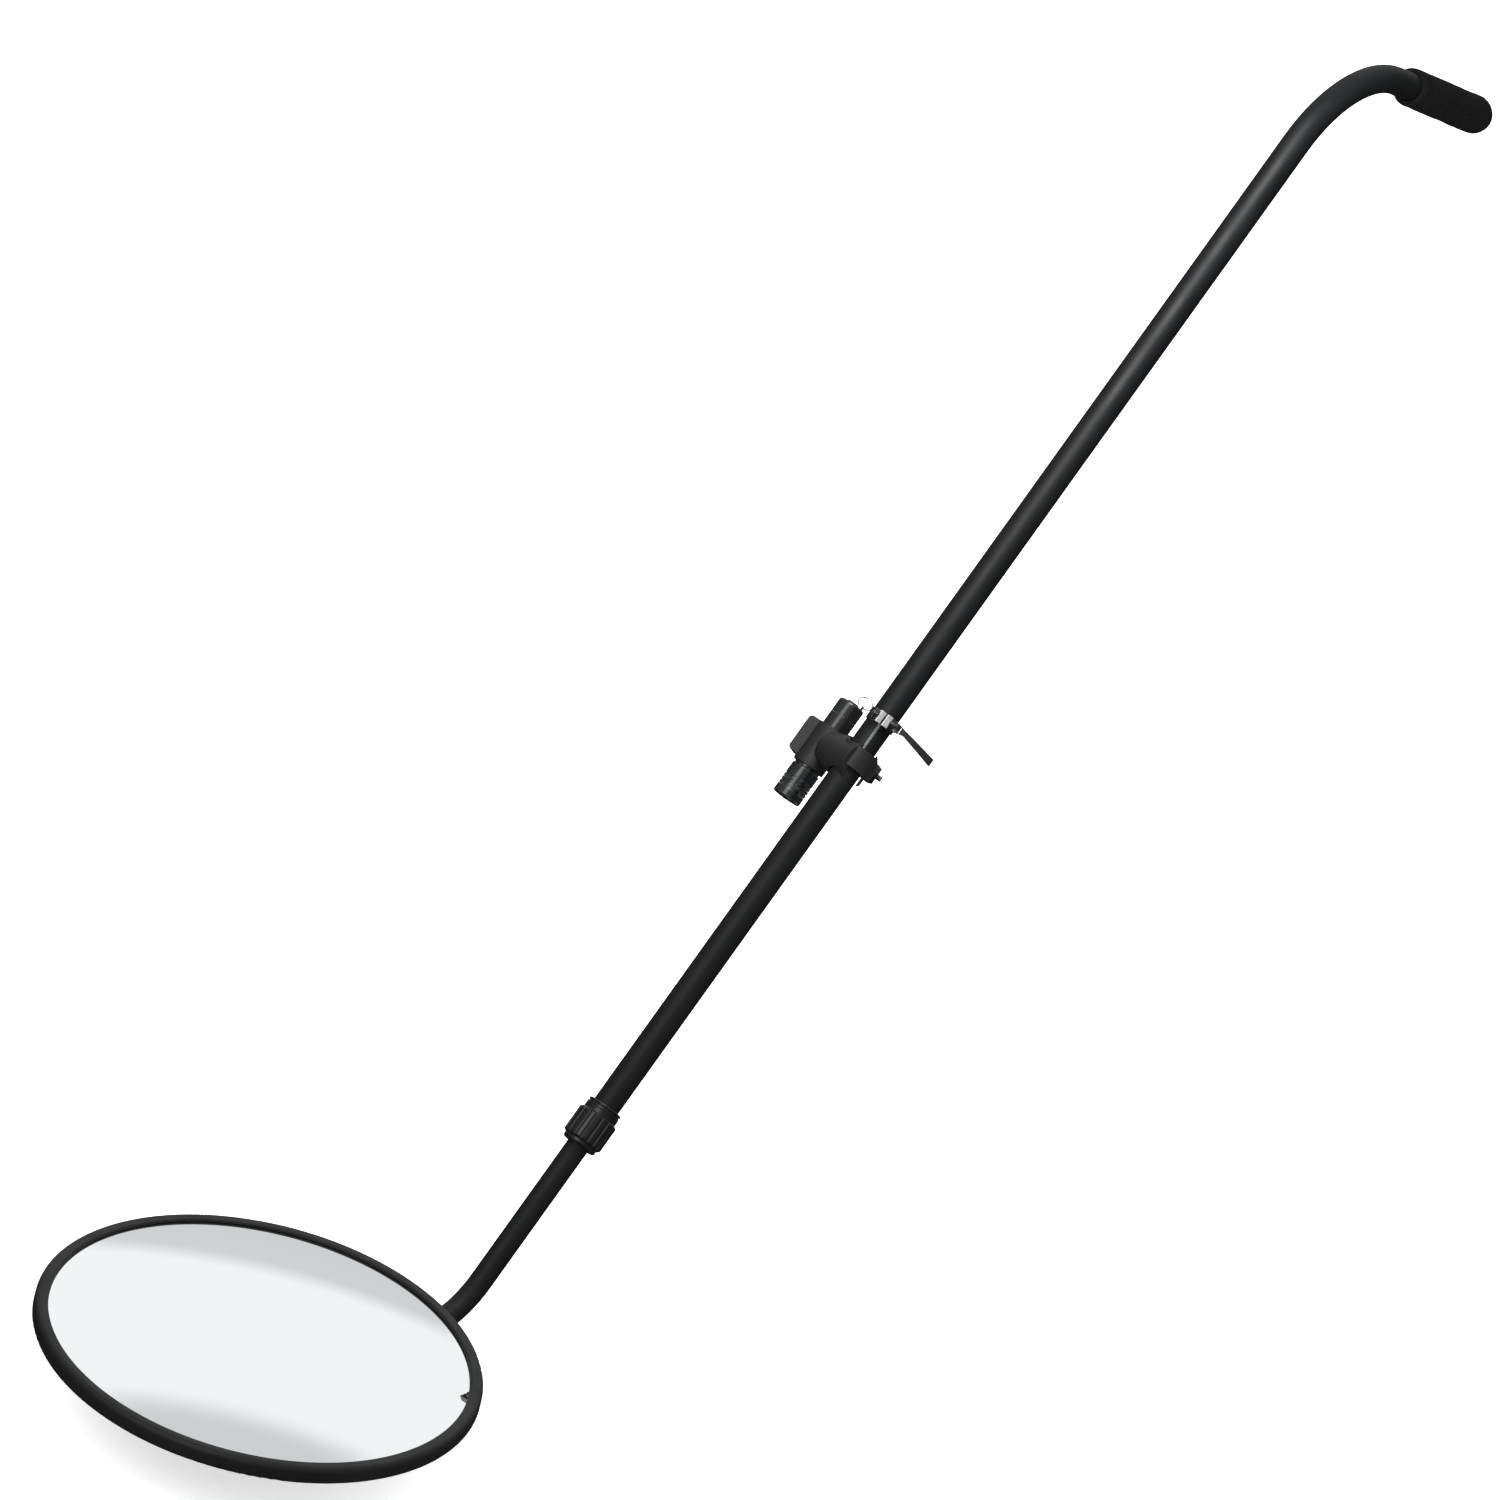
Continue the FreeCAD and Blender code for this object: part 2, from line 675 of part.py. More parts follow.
def clamp_lever():
    """A cam fork that narrows to a bowed lever."""
    tip = f"({PIN_Y} + lever_reach)"
    body = subpart("clamp_lever", clamp_place)
    round_pad(body, "XY", "0 - cam_height / 2", "cam_height", (BOLT_X, PIN_Y, "cam_radius"))
    half = "(lever_thick / 2)"
    blade = [
        (f"{BOLT_X} + {half}", PIN_Y, "lever_bow"),
        (f"{BOLT_X} + {half} - lever_thick", tip, f"{half} + 0.01"),
        (f"{BOLT_X} - {half} - lever_thick", tip, "lever_thick - lever_bow"),
        (f"{BOLT_X} - {half}", PIN_Y),
    ]
    pad(body, "XY", "0 - cam_height - lever_drop", "2 * cam_height + lever_drop", blade)
    above = [
        (PIN_Y, "2 * cam_height"),
        (PIN_Y, "cam_height / 2"),
        (f"{PIN_Y} + 2 * cam_radius", "lever_root / 2"),
        (tip, "lever_tip / 2 - lever_drop"),
        (f"{tip} + cam_radius", "lever_tip / 2 - lever_drop"),
        (f"{tip} + cam_radius", "2 * cam_height"),
    ]
    below = [
        (PIN_Y, "0 - 3 * cam_height"),
        (f"{tip} + cam_radius", "0 - 3 * cam_height"),
        (f"{tip} + cam_radius", "0 - lever_tip / 2 - lever_drop"),
        (tip, "0 - lever_tip / 2 - lever_drop"),
        (f"{PIN_Y} + 2 * cam_radius", "0 - lever_root / 2"),
        (PIN_Y, "0 - cam_height / 2"),
    ]
    pocket(body, "YZ", "0", "2 * tube_od", above)
    pocket(body, "YZ", "0", "2 * tube_od", below)
    slot = f"({PIN_Y} + barrel_d / 2 + clear_gap)"
    fork = box_points("0", "0 - barrel_height / 2 - clear_gap / 2", slot, "barrel_height / 2 + clear_gap / 2")
    pocket(body, "YZ", "0", "2 * tube_od", fork)
    round_pocket(body, "XY", "0 - cam_height", "2 * cam_height", (BOLT_X, PIN_Y, "pin_d / 2 + fit_gap"))


def lever_pin():
    body = subpart("lever_pin", clamp_place)
    round_pad(body, "XY", "0 - cam_height / 2", "cam_height", (BOLT_X, PIN_Y, "pin_d / 2"))


# ---------------------------------------------------------------- lamp bracket

LINER_OUT = "(tube_od / 2 + liner_wall)"
STRAP_IN = f"({LINER_OUT} + slide_gap)"
STRAP_OUT = f"({STRAP_IN} + strap_wall)"
STRAP_LOW = "(strap_shift - strap_height / 2)"
BOSS_FRONT = f"({STRAP_OUT} + boss_stand)"
STUD_STAND = f"({STRAP_OUT} + stud_gap)"


def bracket_liner():
    body = subpart("bracket_liner", bracket_place)
    revolve(body, box_points("tube_od / 2 + slide_gap", STRAP_LOW, LINER_OUT, f"{STRAP_LOW} + strap_height"))
    mouth = box_points("0 - tube_od", "mouth_near", "0", "mouth_far")
    pocket(body, "XY", STRAP_LOW, "strap_height", mouth)


def bracket_band():
    """A strap round the tube, a round boss on the swivel's axis and an ear for the thumb nut."""
    body = subpart("bracket_band", bracket_place)
    round_pad(body, "YZ", "0 - boss_back", f"boss_back + {BOSS_FRONT}", ("0", "0", "boss_od / 2"),
              turn="knuckle_turn")
    revolve(body, box_points("tube_od / 4", STRAP_LOW, STRAP_OUT, f"{STRAP_LOW} + strap_height"))
    ear = rounded_points("tube_od / 4", "mouth_far", f"{STUD_STAND} + bolt_d", "lug_far", "clip_thick")
    ear = [tuple([f"0 - ({point[0]})", point[1]] + [f"0 - ({text})" for text in point[2:]]) for point in ear]
    pad(body, "XY", f"{STRAP_LOW} + clip_thick", "strap_height - 2 * clip_thick", ear)
    round_pocket(body, "XY", "0 - boss_od", "2 * boss_od", ("0", "0", STRAP_IN))
    mouth = box_points("0 - boss_od", "mouth_near", "0", "mouth_far")
    pocket(body, "XY", "0 - boss_od", "2 * boss_od", mouth)
    above = box_points("0 - boss_od", "mouth_far", "0", "boss_od")
    pocket(body, "XY", f"{STRAP_LOW} + strap_height", "boss_od", above)
    pocket(body, "XY", f"{STRAP_LOW} - boss_od", "boss_od", above)
    round_pocket(body, "XZ", "0 - 2 * lug_far", "2 * lug_far + fit_gap",
                 (f"0 - {STUD_STAND}", "strap_shift", "bolt_d / 2 + fit_gap"))
    round_pocket(body, "YZ", "0", "2 * boss_od", ("0", "0", "screw_d / 2 + fit_gap"), turn="knuckle_turn")


def bracket_stud():
    body = subpart("bracket_stud", bracket_place)
    round_pad(body, "XZ", "0 - stud_tip", "stud_tip", (f"0 - {STUD_STAND}", "strap_shift", "bolt_d / 2"))


def bracket_nut():
    """Fluted thumb nut; its body stands on the stud's axis."""
    spin = FreeCAD.Placement(
        FreeCAD.Vector(-number(STUD_STAND), number("lug_far + fit_gap"), number("strap_shift")),
        FreeCAD.Rotation(FreeCAD.Vector(1, 0, 0), -90),
    )
    body = subpart("bracket_nut", bracket_place.multiply(spin))
    hole = "(bolt_d / 2 + slide_gap)"
    points = [
        (hole, "0"),
        ("thumb_od / 2 - 1", "0"),
        ("thumb_od / 2", "1"),
        ("thumb_od / 2", "0.55 * thumb_length"),
        ("0.42 * thumb_od", "thumb_length"),
        (hole, "thumb_length"),
    ]
    revolve(body, points)
    groove = ("thumb_od / 2 + clip_thick / 2", "0", "clip_thick")
    cut = round_pocket(body, "XY", "0", "thumb_length", groove)
    around(body, cut, "collar_flutes")


KNUCKLE_FACE = f"({BOSS_FRONT} + fit_gap)"
CLIP_FACE = f"({KNUCKLE_FACE} + disc_thick + clear_gap / 2)"
CLIP_BORE = "(lamp_od / 2 + clip_liner_wall + 2 * slide_gap)"


def knuckle_disc():
    """A serrated disc on the boss, on the swivel's axis."""
    body = subpart("knuckle_disc", bracket_place)
    middle = ("0", "0", "screw_d / 2 + fit_gap")
    round_pad(body, "YZ", KNUCKLE_FACE, "disc_thick", ("0", "0", "boss_od / 2 - clip_thick"), middle,
              turn="knuckle_turn")


def knuckle_screw():
    body = subpart("knuckle_screw", bracket_place)
    head_low = f"(lamp_stand - {CLIP_BORE} - clear_gap - head_thick)"
    start = f"({STRAP_IN} + slide_gap)"
    round_pad(body, "YZ", start, f"{head_low} - {start}", ("0", "0", "screw_d / 2"), turn="knuckle_turn")
    round_pad(body, "YZ", head_low, "head_thick", ("0", "0", "head_d / 2"), turn="knuckle_turn")


def lamp_clip():
    """A split sleeve round the lamp with a round base and two ears."""
    height = "(clip_low + clip_high)"
    outer = f"({CLIP_BORE} + clip_wall)"
    body = subpart("lamp_clip", lamp_place)
    round_pad(body, "YZ", f"{CLIP_FACE} - lamp_stand", f"lamp_stand - {CLIP_FACE} - 0.85 * {CLIP_BORE}",
              ("0", "0", "clip_base_od / 2"), turn="knuckle_turn")
    revolve(body, box_points("lamp_od / 4", "0 - clip_low", outer, "clip_high"))
    ear = rounded_points("lamp_od / 4", "3 - clip_low", "ear_reach", "clip_high", "3")
    pad(body, "XZ", "0 - ear_width", "2 * ear_width", ear, turn="ear_turn")
    round_pocket(body, "XY", "0 - boss_od", "2 * boss_od", ("0", "0", CLIP_BORE))
    slit = box_points("0", "0 - boss_od", "boss_od", "boss_od")
    pocket(body, "XZ", "0 - ear_slit", "2 * ear_slit", slit, turn="ear_turn")
    round_pocket(body, "XZ", "0 - 2 * ear_width / 3", "2 * ear_width",
                 ("ear_screw_stand", "0", "ear_screw_d / 2 + fit_gap"), turn="ear_turn")
    head_low = f"(0 - {CLIP_BORE} - clear_gap - head_thick)"
    round_pocket(body, "YZ", "0 - lamp_stand", "lamp_stand", ("0", "0", "screw_d / 2 + slide_gap"),
                 turn="knuckle_turn")
    round_pocket(body, "YZ", f"{head_low} - slide_gap", f"0 - {head_low}",
                 ("0", "0", "head_d / 2 + slide_gap"), turn="knuckle_turn")


def clip_liner():
    body = subpart("clip_liner", lamp_place)
    inner = "(lamp_od / 2 + slide_gap)"
    revolve(body, box_points(inner, "1 - clip_low", f"{inner} + clip_liner_wall", "clip_high - 1"))
    slit = box_points("0", "0 - boss_od", "boss_od", "boss_od")
    pocket(body, "XZ", "0 - ear_slit", "2 * ear_slit", slit, turn="ear_turn")


def ear_screw():
    """The cap screw that closes the clip's ears."""
    body = subpart("ear_screw", lamp_place)
    reach = "(2 * ear_width / 3 - fit_gap)"
    shank = ("ear_screw_stand", "0", "ear_screw_d / 2")
    head = ("ear_screw_stand", "0", "0.9 * ear_screw_d")
    round_pad(body, "XZ", f"0 - {reach}", f"{reach} + ear_width + fit_gap", shank, turn="ear_turn")
    round_pad(body, "XZ", "ear_width + fit_gap", "head_thick", head, turn="ear_turn")


# ---------------------------------------------------------------- lamp

LAMP_BORE = "(cell_od / 2 + cell_gap)"
NECK = "(neck_od / 2)"


def lamp_body():
    points = [
        (LAMP_BORE, "0 - cell_low"),
        (NECK, "0 - cell_low"),
        (NECK, "0 - head_high + fit_gap"),
        ("lamp_od / 2", "0 - head_high + fit_gap"),
        ("lamp_od / 2", "tail_low - fit_gap"),
        (NECK, "tail_low - fit_gap"),
        (NECK, "cell_length - cell_low"),
        (LAMP_BORE, "cell_length - cell_low"),
    ]
    turned("lamp_body", lamp_place, points)


def lamp_head():
    """The head, with three rows of cooling ribs."""
    body = subpart("lamp_head", lamp_place)
    wall = "(head_od / 2)"
    bore = f"({NECK} + fit_gap)"
    points = [
        (bore, "0 - head_low"),
        (wall, "0 - head_low"),
        (wall, "0 - head_high - 0.8"),
        (f"{wall} - 0.8", "0 - head_high"),
        (bore, "0 - head_high"),
    ]
    revolve(body, points)
    for row in range(4):
        low = f"(0 - head_low + 0.6 + {row} * 2.7)"
        ring = box_points(f"{wall} - 0.7", low, f"{wall} + 1", f"{low} + 0.9")
        revolve(body, ring, "Groove")
    flute = box_points(f"{wall} - 0.7", "0 - 0.7", f"{wall} + 1", "0.7")
    cut = pocket(body, "XY", "0 - head_low + 0.6", "3 * 2.7 + 0.9", flute)
    around(body, cut, "12")


def lamp_front():
    """Bezel, lens, seal, reflector and LED."""
    wall = "(head_od / 2)"
    lens_low = "(0 - bezel_low + 1.6)"
    lens_high = f"({lens_low} + lens_thick)"
    seat = f"({NECK} - fit_gap)"
    bezel = [
        ("0.39 * head_od", "0 - bezel_low"),
        (f"{wall} - 0.6", "0 - bezel_low"),
        (wall, "0.6 - bezel_low"),
        (wall, "0 - head_low - fit_gap"),
        (NECK, "0 - head_low - fit_gap"),
        (NECK, "3 - head_low"),
        (f"{NECK} - 0.7", "3 - head_low"),
        (f"{NECK} - 0.7", f"{lens_high} + 1.6"),
        (f"{NECK} + 0.02", f"{lens_high} + 1.5"),
        (f"{NECK} + 0.02", lens_low),
        ("0.39 * head_od", f"{lens_low} - 0.02"),
    ]
    turned("lamp_bezel", lamp_place, bezel)
    turned("lamp_lens", lamp_place, box_points("0", lens_low, seat, lens_high))
    sleeve("lens_seal", lamp_place, f"{seat} - 1.2", seat, f"{lens_high} + 0.02", f"{lens_high} + 1.4")
    cup_low = f"({lens_high} + 0.4)"
    cup_high = "(0 - cell_low - led_thick - 0.4)"
    lip = f"({NECK} - 1.4)"
    cup = [
        ("2.2", cup_high),
        (f"{lip} - 0.8", cup_low),
        (lip, cup_low),
        (lip, f"{cup_low} + 1"),
        ("3.4", cup_high),
    ]
    turned("lamp_reflector", lamp_place, cup)
    led_low = "(0 - cell_low - led_thick)"
    led = [
        ("0", f"{led_low} - 1.6", "1.8"),
        ("1.5", f"{led_low} - 0.4"),
        ("1.5", led_low),
        (f"{NECK} - 0.1", led_low),
        (f"{NECK} - 0.1", "0 - cell_low - fit_gap"),
        ("0", "0 - cell_low - fit_gap"),
    ]
    turned("led_module", lamp_place, led)


def battery():
    low = "(0 - cell_low)"
    top = "(cell_length - cell_low - clip_thick)"
    points = [
        ("0", low),
        ("2.7", low),
        ("2.7", f"{low} + 1.2"),
        ("cell_od / 2 - 0.5", f"{low} + 1.2"),
        ("cell_od / 2", f"{low} + 1.7"),
        ("cell_od / 2", f"{top} - 0.5"),
        ("cell_od / 2 - 0.5", top),
        ("0", top),
    ]
    turned("battery", lamp_place, points)


def lamp_tail():
    """Tail cap with its lanyard eye, contact spring, switch and button."""
    roof = "(tail_high - tail_roof)"
    bore = f"({NECK} + fit_gap)"
    wall = "(lamp_od / 2)"
    hole = "(button_od / 2 + slide_gap)"
    cap = subpart("tail_cap", lamp_place)
    points = [
        (bore, "tail_low"),
        (wall, "tail_low"),
        (wall, "tail_high - 2", "2"),
        (f"{wall} - 2", "tail_high"),
        (hole, "tail_high"),
        (hole, roof),
        (bore, roof),
    ]
    revolve(cap, points)
    eye_z = "(tail_high + ring_lift)"
    eye_low = f"({roof} + 0.8)"
    eye = [
        ("ring_front - 1.4", eye_low),
        ("ring_front + 1.4", eye_low),
        ("ring_front + 1.4", eye_z, "1.401"),
        ("ring_front - 1.4", eye_z),
    ]
    round_eye = ("ring_front", eye_z, "ring_wire / 2 + clear_gap")
    pad(cap, "XZ", "0 - ring_side - 0.8", "1.6", eye)
    round_pocket(cap, "XZ", "0 - ring_side - 1.6", "3.2", round_eye)

    cell_top = "(cell_length - cell_low - clip_thick)"
    switch_low = "(cell_length - cell_low + 0.6)"
    flange_low = f"({roof} - 0.1 - clip_thick)"
    switch_high = f"({flange_low} - button_travel - 0.1)"
    sleeve("switch_body", lamp_place, "1", f"{bore} - 0.1", switch_low, switch_high)
    spring = subpart("contact_spring", lamp_place)
    wire = sketch_on(spring, "XZ")
    circles(wire, ("4", f"{cell_top} + 0.25", "0.25"))
    coil = spring.newObject("PartDesign::AdditiveHelix", "Coil")
    coil.Profile = wire
    coil.ReferenceAxis = (wire, ["V_Axis"])
    coil.Mode = 0
    coil.Pitch = 0.55
    coil.setExpression("Height", bound(f"{switch_low} - {cell_top} - 0.5"))
    doc.recompute()
    button = [
        ("0", flange_low),
        (f"{hole} + 1.2", flange_low),
        (f"{hole} + 1.2", f"{flange_low} + clip_thick"),
        ("button_od / 2", f"{flange_low} + clip_thick"),
        ("button_od / 2", "tail_high + button_proud / 2"),
        ("button_od / 2 - button_proud / 2", "tail_high + button_proud"),
        ("0", "tail_high + button_proud"),
    ]
    turned("switch_button", lamp_place, button)


def lanyard_ring():
    """A loose wire ring through the tail cap's eye, resting half raised."""
    hinge = FreeCAD.Placement(
        FreeCAD.Vector(number("ring_front"), number("ring_side"), number("tail_high + ring_lift")),
        FreeCAD.Rotation(FreeCAD.Vector(0, 1, 0), number("ring_rest")),
    )
    body = subpart("lanyard_ring", lamp_place.multiply(hinge))
    wire = sketch_on(body, "XZ")
    circles(wire, ("0", "0", "ring_wire / 2"))
    ring = body.newObject("PartDesign::Revolution", "Ring")
    ring.Profile = wire
    centre = body.newObject("PartDesign::Line", "RingAxis")
    centre.MapMode = "Deactivated"
    centre.Placement = FreeCAD.Placement(FreeCAD.Vector(-number("ring_radius"), 0, 0), FreeCAD.Rotation())
    ring.ReferenceAxis = (centre, [""])
    ring.Angle = 360
    doc.recompute()


# ---------------------------------------------------------------- mirror head

def tilt_eye():
    """A plug in the tube's end with a flat eye on the tilt bolt."""
    body = subpart("tilt_eye", tilt_place)
    half = "(eye_thick / 2)"
    tongue = [
        ("0", "0 - eye_od / 2"),
        ("eye_stand - fit_gap", "0 - eye_od / 2.6"),
        ("eye_stand - fit_gap", "eye_od / 2.6"),
        ("0", "eye_od / 2", "eye_od / 2 + 0.001"),
    ]
    pad(body, "XZ", f"0 - {half}", "eye_thick", tongue)
    plug = "(lower_od / 2 - lower_wall - fit_gap)"
    round_pad(body, "YZ", "eye_stand - 2", "plug_depth * 2", ("0", "0", plug))
    round_pocket(body, "XZ", f"0 - {half} - plug_depth", "eye_thick + 2 * plug_depth",
                 ("0", "0", "tilt_bolt_d / 2 + slide_gap"))


CHEEK_IN = "(eye_thick / 2 + cheek_gap)"
CHEEK_OUT = f"({CHEEK_IN} + cheek_thick)"


def swivel_fork():
    """Two cheeks on the tilt bolt under a flanged neck whose stud carries the base plate."""
    body = subpart("swivel_fork", tilt_place)
    plate = "(plate_low - clear_gap / 2)"
    neck_low = "(fork_web)"
    half = "(eye_od / 2)"
    cheek = [
        (half, "0"),
        (half, f"{neck_low} + 3"),
        (f"0 - {half}", f"{neck_low} + 3"),
        (f"0 - {half}", "0", f"{half} + 0.001"),
    ]
    pad(body, "XZ", f"0 - {CHEEK_OUT}", f"2 * {CHEEK_OUT}", cheek)
    points = [
        ("0", neck_low),
        ("fork_neck_od / 2", neck_low),
        ("fork_neck_od / 2", f"{plate} - 2 * flange_thick"),
        ("fork_flange_od / 2", f"{plate} - flange_thick"),
        ("fork_flange_od / 2", plate),
        ("stud_d / 2", plate),
        ("stud_d / 2", "plate_low + plate_thick + 0.2"),
        ("stud_d / 2 - 0.8", "plate_low + plate_thick + 0.2"),
        ("stud_d / 2 - 0.8", "plate_low + plate_thick + 1.5"),
        ("stud_d / 2", "plate_low + plate_thick + 1.5"),
        ("stud_d / 2", "plate_low + plate_thick + 2.4"),
        ("0", "plate_low + plate_thick + 2.4"),
    ]
    revolve(body, points)
    gap = box_points("0 - eye_od", "0 - eye_od", "eye_od", "fork_web - 2")
    pocket(body, "XZ", f"0 - {CHEEK_IN}", f"2 * {CHEEK_IN}", gap)
    round_pocket(body, "XZ", "0 - 2 * eye_thick", "4 * eye_thick",
                 ("0", "0", "tilt_bolt_d / 2 + fit_gap"))


def tilt_bolt():
    body = subpart("tilt_bolt", tilt_place)
    end = f"({CHEEK_OUT} + fit_gap)"
    tip = f"({end} + knob_thick + 2)"
    round_pad(body, "XZ", f"0 - {tip}", f"{tip} + {end}", ("0", "0", "tilt_bolt_d / 2"))
    pad(body, "XZ", end, "3.5", hexagon_points("0", "0", "1.6 * tilt_bolt_d"))


def tilt_knob():
    """Fluted hand nut on the tilt bolt."""
    lay = FreeCAD.Placement(
        FreeCAD.Vector(0, number(f"{CHEEK_OUT} + 2 * fit_gap"), 0),
        FreeCAD.Rotation(FreeCAD.Vector(1, 0, 0), -90),
    )
    body = subpart("tilt_knob", tilt_place.multiply(lay))
    hole = "(tilt_bolt_d / 2 + slide_gap)"
    points = [
        (hole, "0"),
        ("0.36 * knob_od", "0"),
        ("0.36 * knob_od", "1.5"),
        ("knob_od / 2", "2.5"),
        ("knob_od / 2", "knob_thick - 1"),
        ("knob_od / 2 - 1", "knob_thick"),
        (hole, "knob_thick"),
    ]
    revolve(body, points)
    groove = ("knob_od / 2 + 1", "0", "2")
    cut = round_pocket(body, "XY", "0", "knob_thick", groove)
    around(body, cut, "8")


def base_plate():
    body = subpart("base_plate", tilt_place)
    revolve(body, box_points("stud_d / 2 + slide_gap", "plate_low", "plate_od / 2", "plate_low + plate_thick"))
    hole = ("plate_pcd / 2", "0", "plate_screw_d / 2 + fit_gap")
    cut = round_pocket(body, "XY", "plate_low", "plate_thick", hole)
    around(body, cut, "4")


def base_screws():
    """Four pan-head screws up through the plate into the shell."""
    body = subpart("base_screws", tilt_place)
    head = ("plate_pcd / 2", "0", "0.95 * plate_screw_d")
    shank = ("plate_pcd / 2", "0", "plate_screw_d / 2")
    low = round_pad(body, "XY", "plate_low - fit_gap - 2.2", "2.2", head)
    high = round_pad(body, "XY", "plate_low - fit_gap - 1", "plate_thick + shell_thick + 1.5", shank)
    pattern = body.newObject("PartDesign::PolarPattern", "Pattern")
    pattern.Originals = [low, high]
    axis = next(item for item in body.Origin.OriginFeatures if item.Role == "Z_Axis")
    pattern.Axis = (axis, [""])
    pattern.Angle = 360
    pattern.Occurrences = 4
    body.Tip = pattern
    doc.recompute()


def swivel_clip():
    low = "(plate_low + plate_thick + 0.3)"
    body = subpart("swivel_clip", tilt_place)
    revolve(body, box_points("stud_d / 2 - 0.7", low, "stud_d / 2 + 3", f"{low} + 1.1"))
    mouth = box_points("0", "0 - stud_d / 4", "stud_d", "stud_d / 4")
    pocket(body, "XY", low, "1.1", mouth)


SHELL_LOW = "(plate_low + plate_thick + fit_gap)"
RIM_IN = "(rim_od / 2 - rim_wide)"
BITE_IN = f"({RIM_IN} + rim_bite)"
RIM_LOW = "(mirror_lift - rim_high / 2)"
RIM_HIGH = "(mirror_lift + rim_high / 2)"
DOME_EDGE = f"({RIM_HIGH} - 3)"
SHEET_EDGE = f"({BITE_IN} - fit_gap)"
DOME_SAG = f"(dome_radius - sqrt(dome_radius ^ 2 - {SHEET_EDGE} ^ 2))"


def mirror_head():
    """Shell, convex mirror sheet with its felt backing, and the rubber rim round them."""
    edge = SHEET_EDGE
    shell_top = f"({SHELL_LOW} + shell_thick)"
    dome_low = f"({DOME_EDGE} - dome_thick)"
    shell = subpart("back_shell", tilt_place)
    points = [
        ("shell_hole / 2", SHELL_LOW),
        (f"{RIM_IN} - 3", SHELL_LOW),
        (f"{RIM_IN} - 1", f"{RIM_LOW} + 2"),
        (edge, f"{RIM_LOW} + 2"),
        (edge, f"{dome_low} - fit_gap"),
        (f"{edge} - shell_thick", f"{dome_low} - fit_gap"),
        (f"{edge} - shell_thick", f"{RIM_LOW} + 2 + shell_thick"),
        (f"{RIM_IN} - 2", f"{RIM_LOW} + 2 + shell_thick"),
        (f"{RIM_IN} - 4", shell_top),
        ("shell_hole / 2", shell_top),
    ]
    revolve(shell, points)
    hole = ("plate_pcd / 2", "0", "plate_screw_d / 2 + fit_gap")
    cut = round_pocket(shell, "XY", SHELL_LOW, "shell_thick", hole)
    around(shell, cut, "4")
    apex = f"({DOME_EDGE} + {DOME_SAG})"
    felt_edge = f"({RIM_IN} - 6)"
    felt_outer = "(dome_radius - dome_thick - fit_gap)"
    felt_inner = f"({felt_outer} - backing_thick)"
    middle = f"({apex} - dome_radius)"
    points = [
        ("0", f"{middle} + {felt_inner}", f"0 - {felt_inner}"),
        (felt_edge, f"{middle} + sqrt({felt_inner} ^ 2 - {felt_edge} ^ 2)"),
        (felt_edge, f"{middle} + sqrt({felt_outer} ^ 2 - {felt_edge} ^ 2)", felt_outer),
        ("0", f"{middle} + {felt_outer}"),
    ]
    turned("mirror_backing", tilt_place, points)
    points = [
        ("0", f"{apex} - dome_thick", "dome_thick - dome_radius"),
        (edge, f"{middle} + sqrt((dome_radius - dome_thick) ^ 2 - {edge} ^ 2)"),
        (edge, DOME_EDGE, "dome_radius"),
        ("0", apex),
    ]
    turned("mirror_dome", tilt_place, points)
    points = [
        (RIM_IN, RIM_LOW),
        ("rim_od / 2 - 3", RIM_LOW, "3"),
        ("rim_od / 2", f"{RIM_LOW} + 3"),
        ("rim_od / 2", f"{RIM_HIGH} - 4.5", "4.5"),
        ("rim_od / 2 - 4.5", RIM_HIGH),
        (f"{RIM_IN} + 1.5", RIM_HIGH, "1.5"),
        (RIM_IN, f"{RIM_HIGH} - 1.5"),
        (RIM_IN, f"{DOME_EDGE} + 1.2"),
        (BITE_IN, f"{DOME_EDGE} + 0.1"),
        (BITE_IN, f"{RIM_LOW} + 2 - fit_gap"),
        (RIM_IN, f"{RIM_LOW} + 2 - fit_gap"),
    ]
    turned("rim_trim", tilt_place, points)


# ---------------------------------------------------------------- build

BUILDERS = [
    handle_tube, grip, telescope,
    main_tube, collet, twist_collar, collar_ring,
    lower_tube, lower_guide,
    clamp_band, clamp_saddle, clamp_bolt, clamp_nut, clamp_washer, clamp_lever, lever_pin,
    bracket_liner, bracket_band, bracket_stud, bracket_nut, knuckle_disc, knuckle_screw,
    lamp_clip, clip_liner, ear_screw,
    lamp_body, lamp_head, lamp_front, battery, lamp_tail, lanyard_ring,
    tilt_eye, swivel_fork, tilt_bolt, tilt_knob, base_plate, base_screws, swivel_clip, mirror_head,
]
for build in BUILDERS:
    build()
doc.recompute()

faults = [item.Label for item in doc.Objects if "Invalid" in item.State or "Error" in item.State]
faults += [body.Label for body in subparts if body.Shape.isNull() or not body.Shape.isValid()]
if faults:
    raise RuntimeError("not built: " + ", ".join(faults))

os.makedirs("parts", exist_ok=True)
for body in subparts:
    body.Shape.exportStep(f"parts/{body.Label}.step")
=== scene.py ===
import json
import math

import bmesh
import bpy
import numpy as np
from mathutils import Matrix, Vector, noise


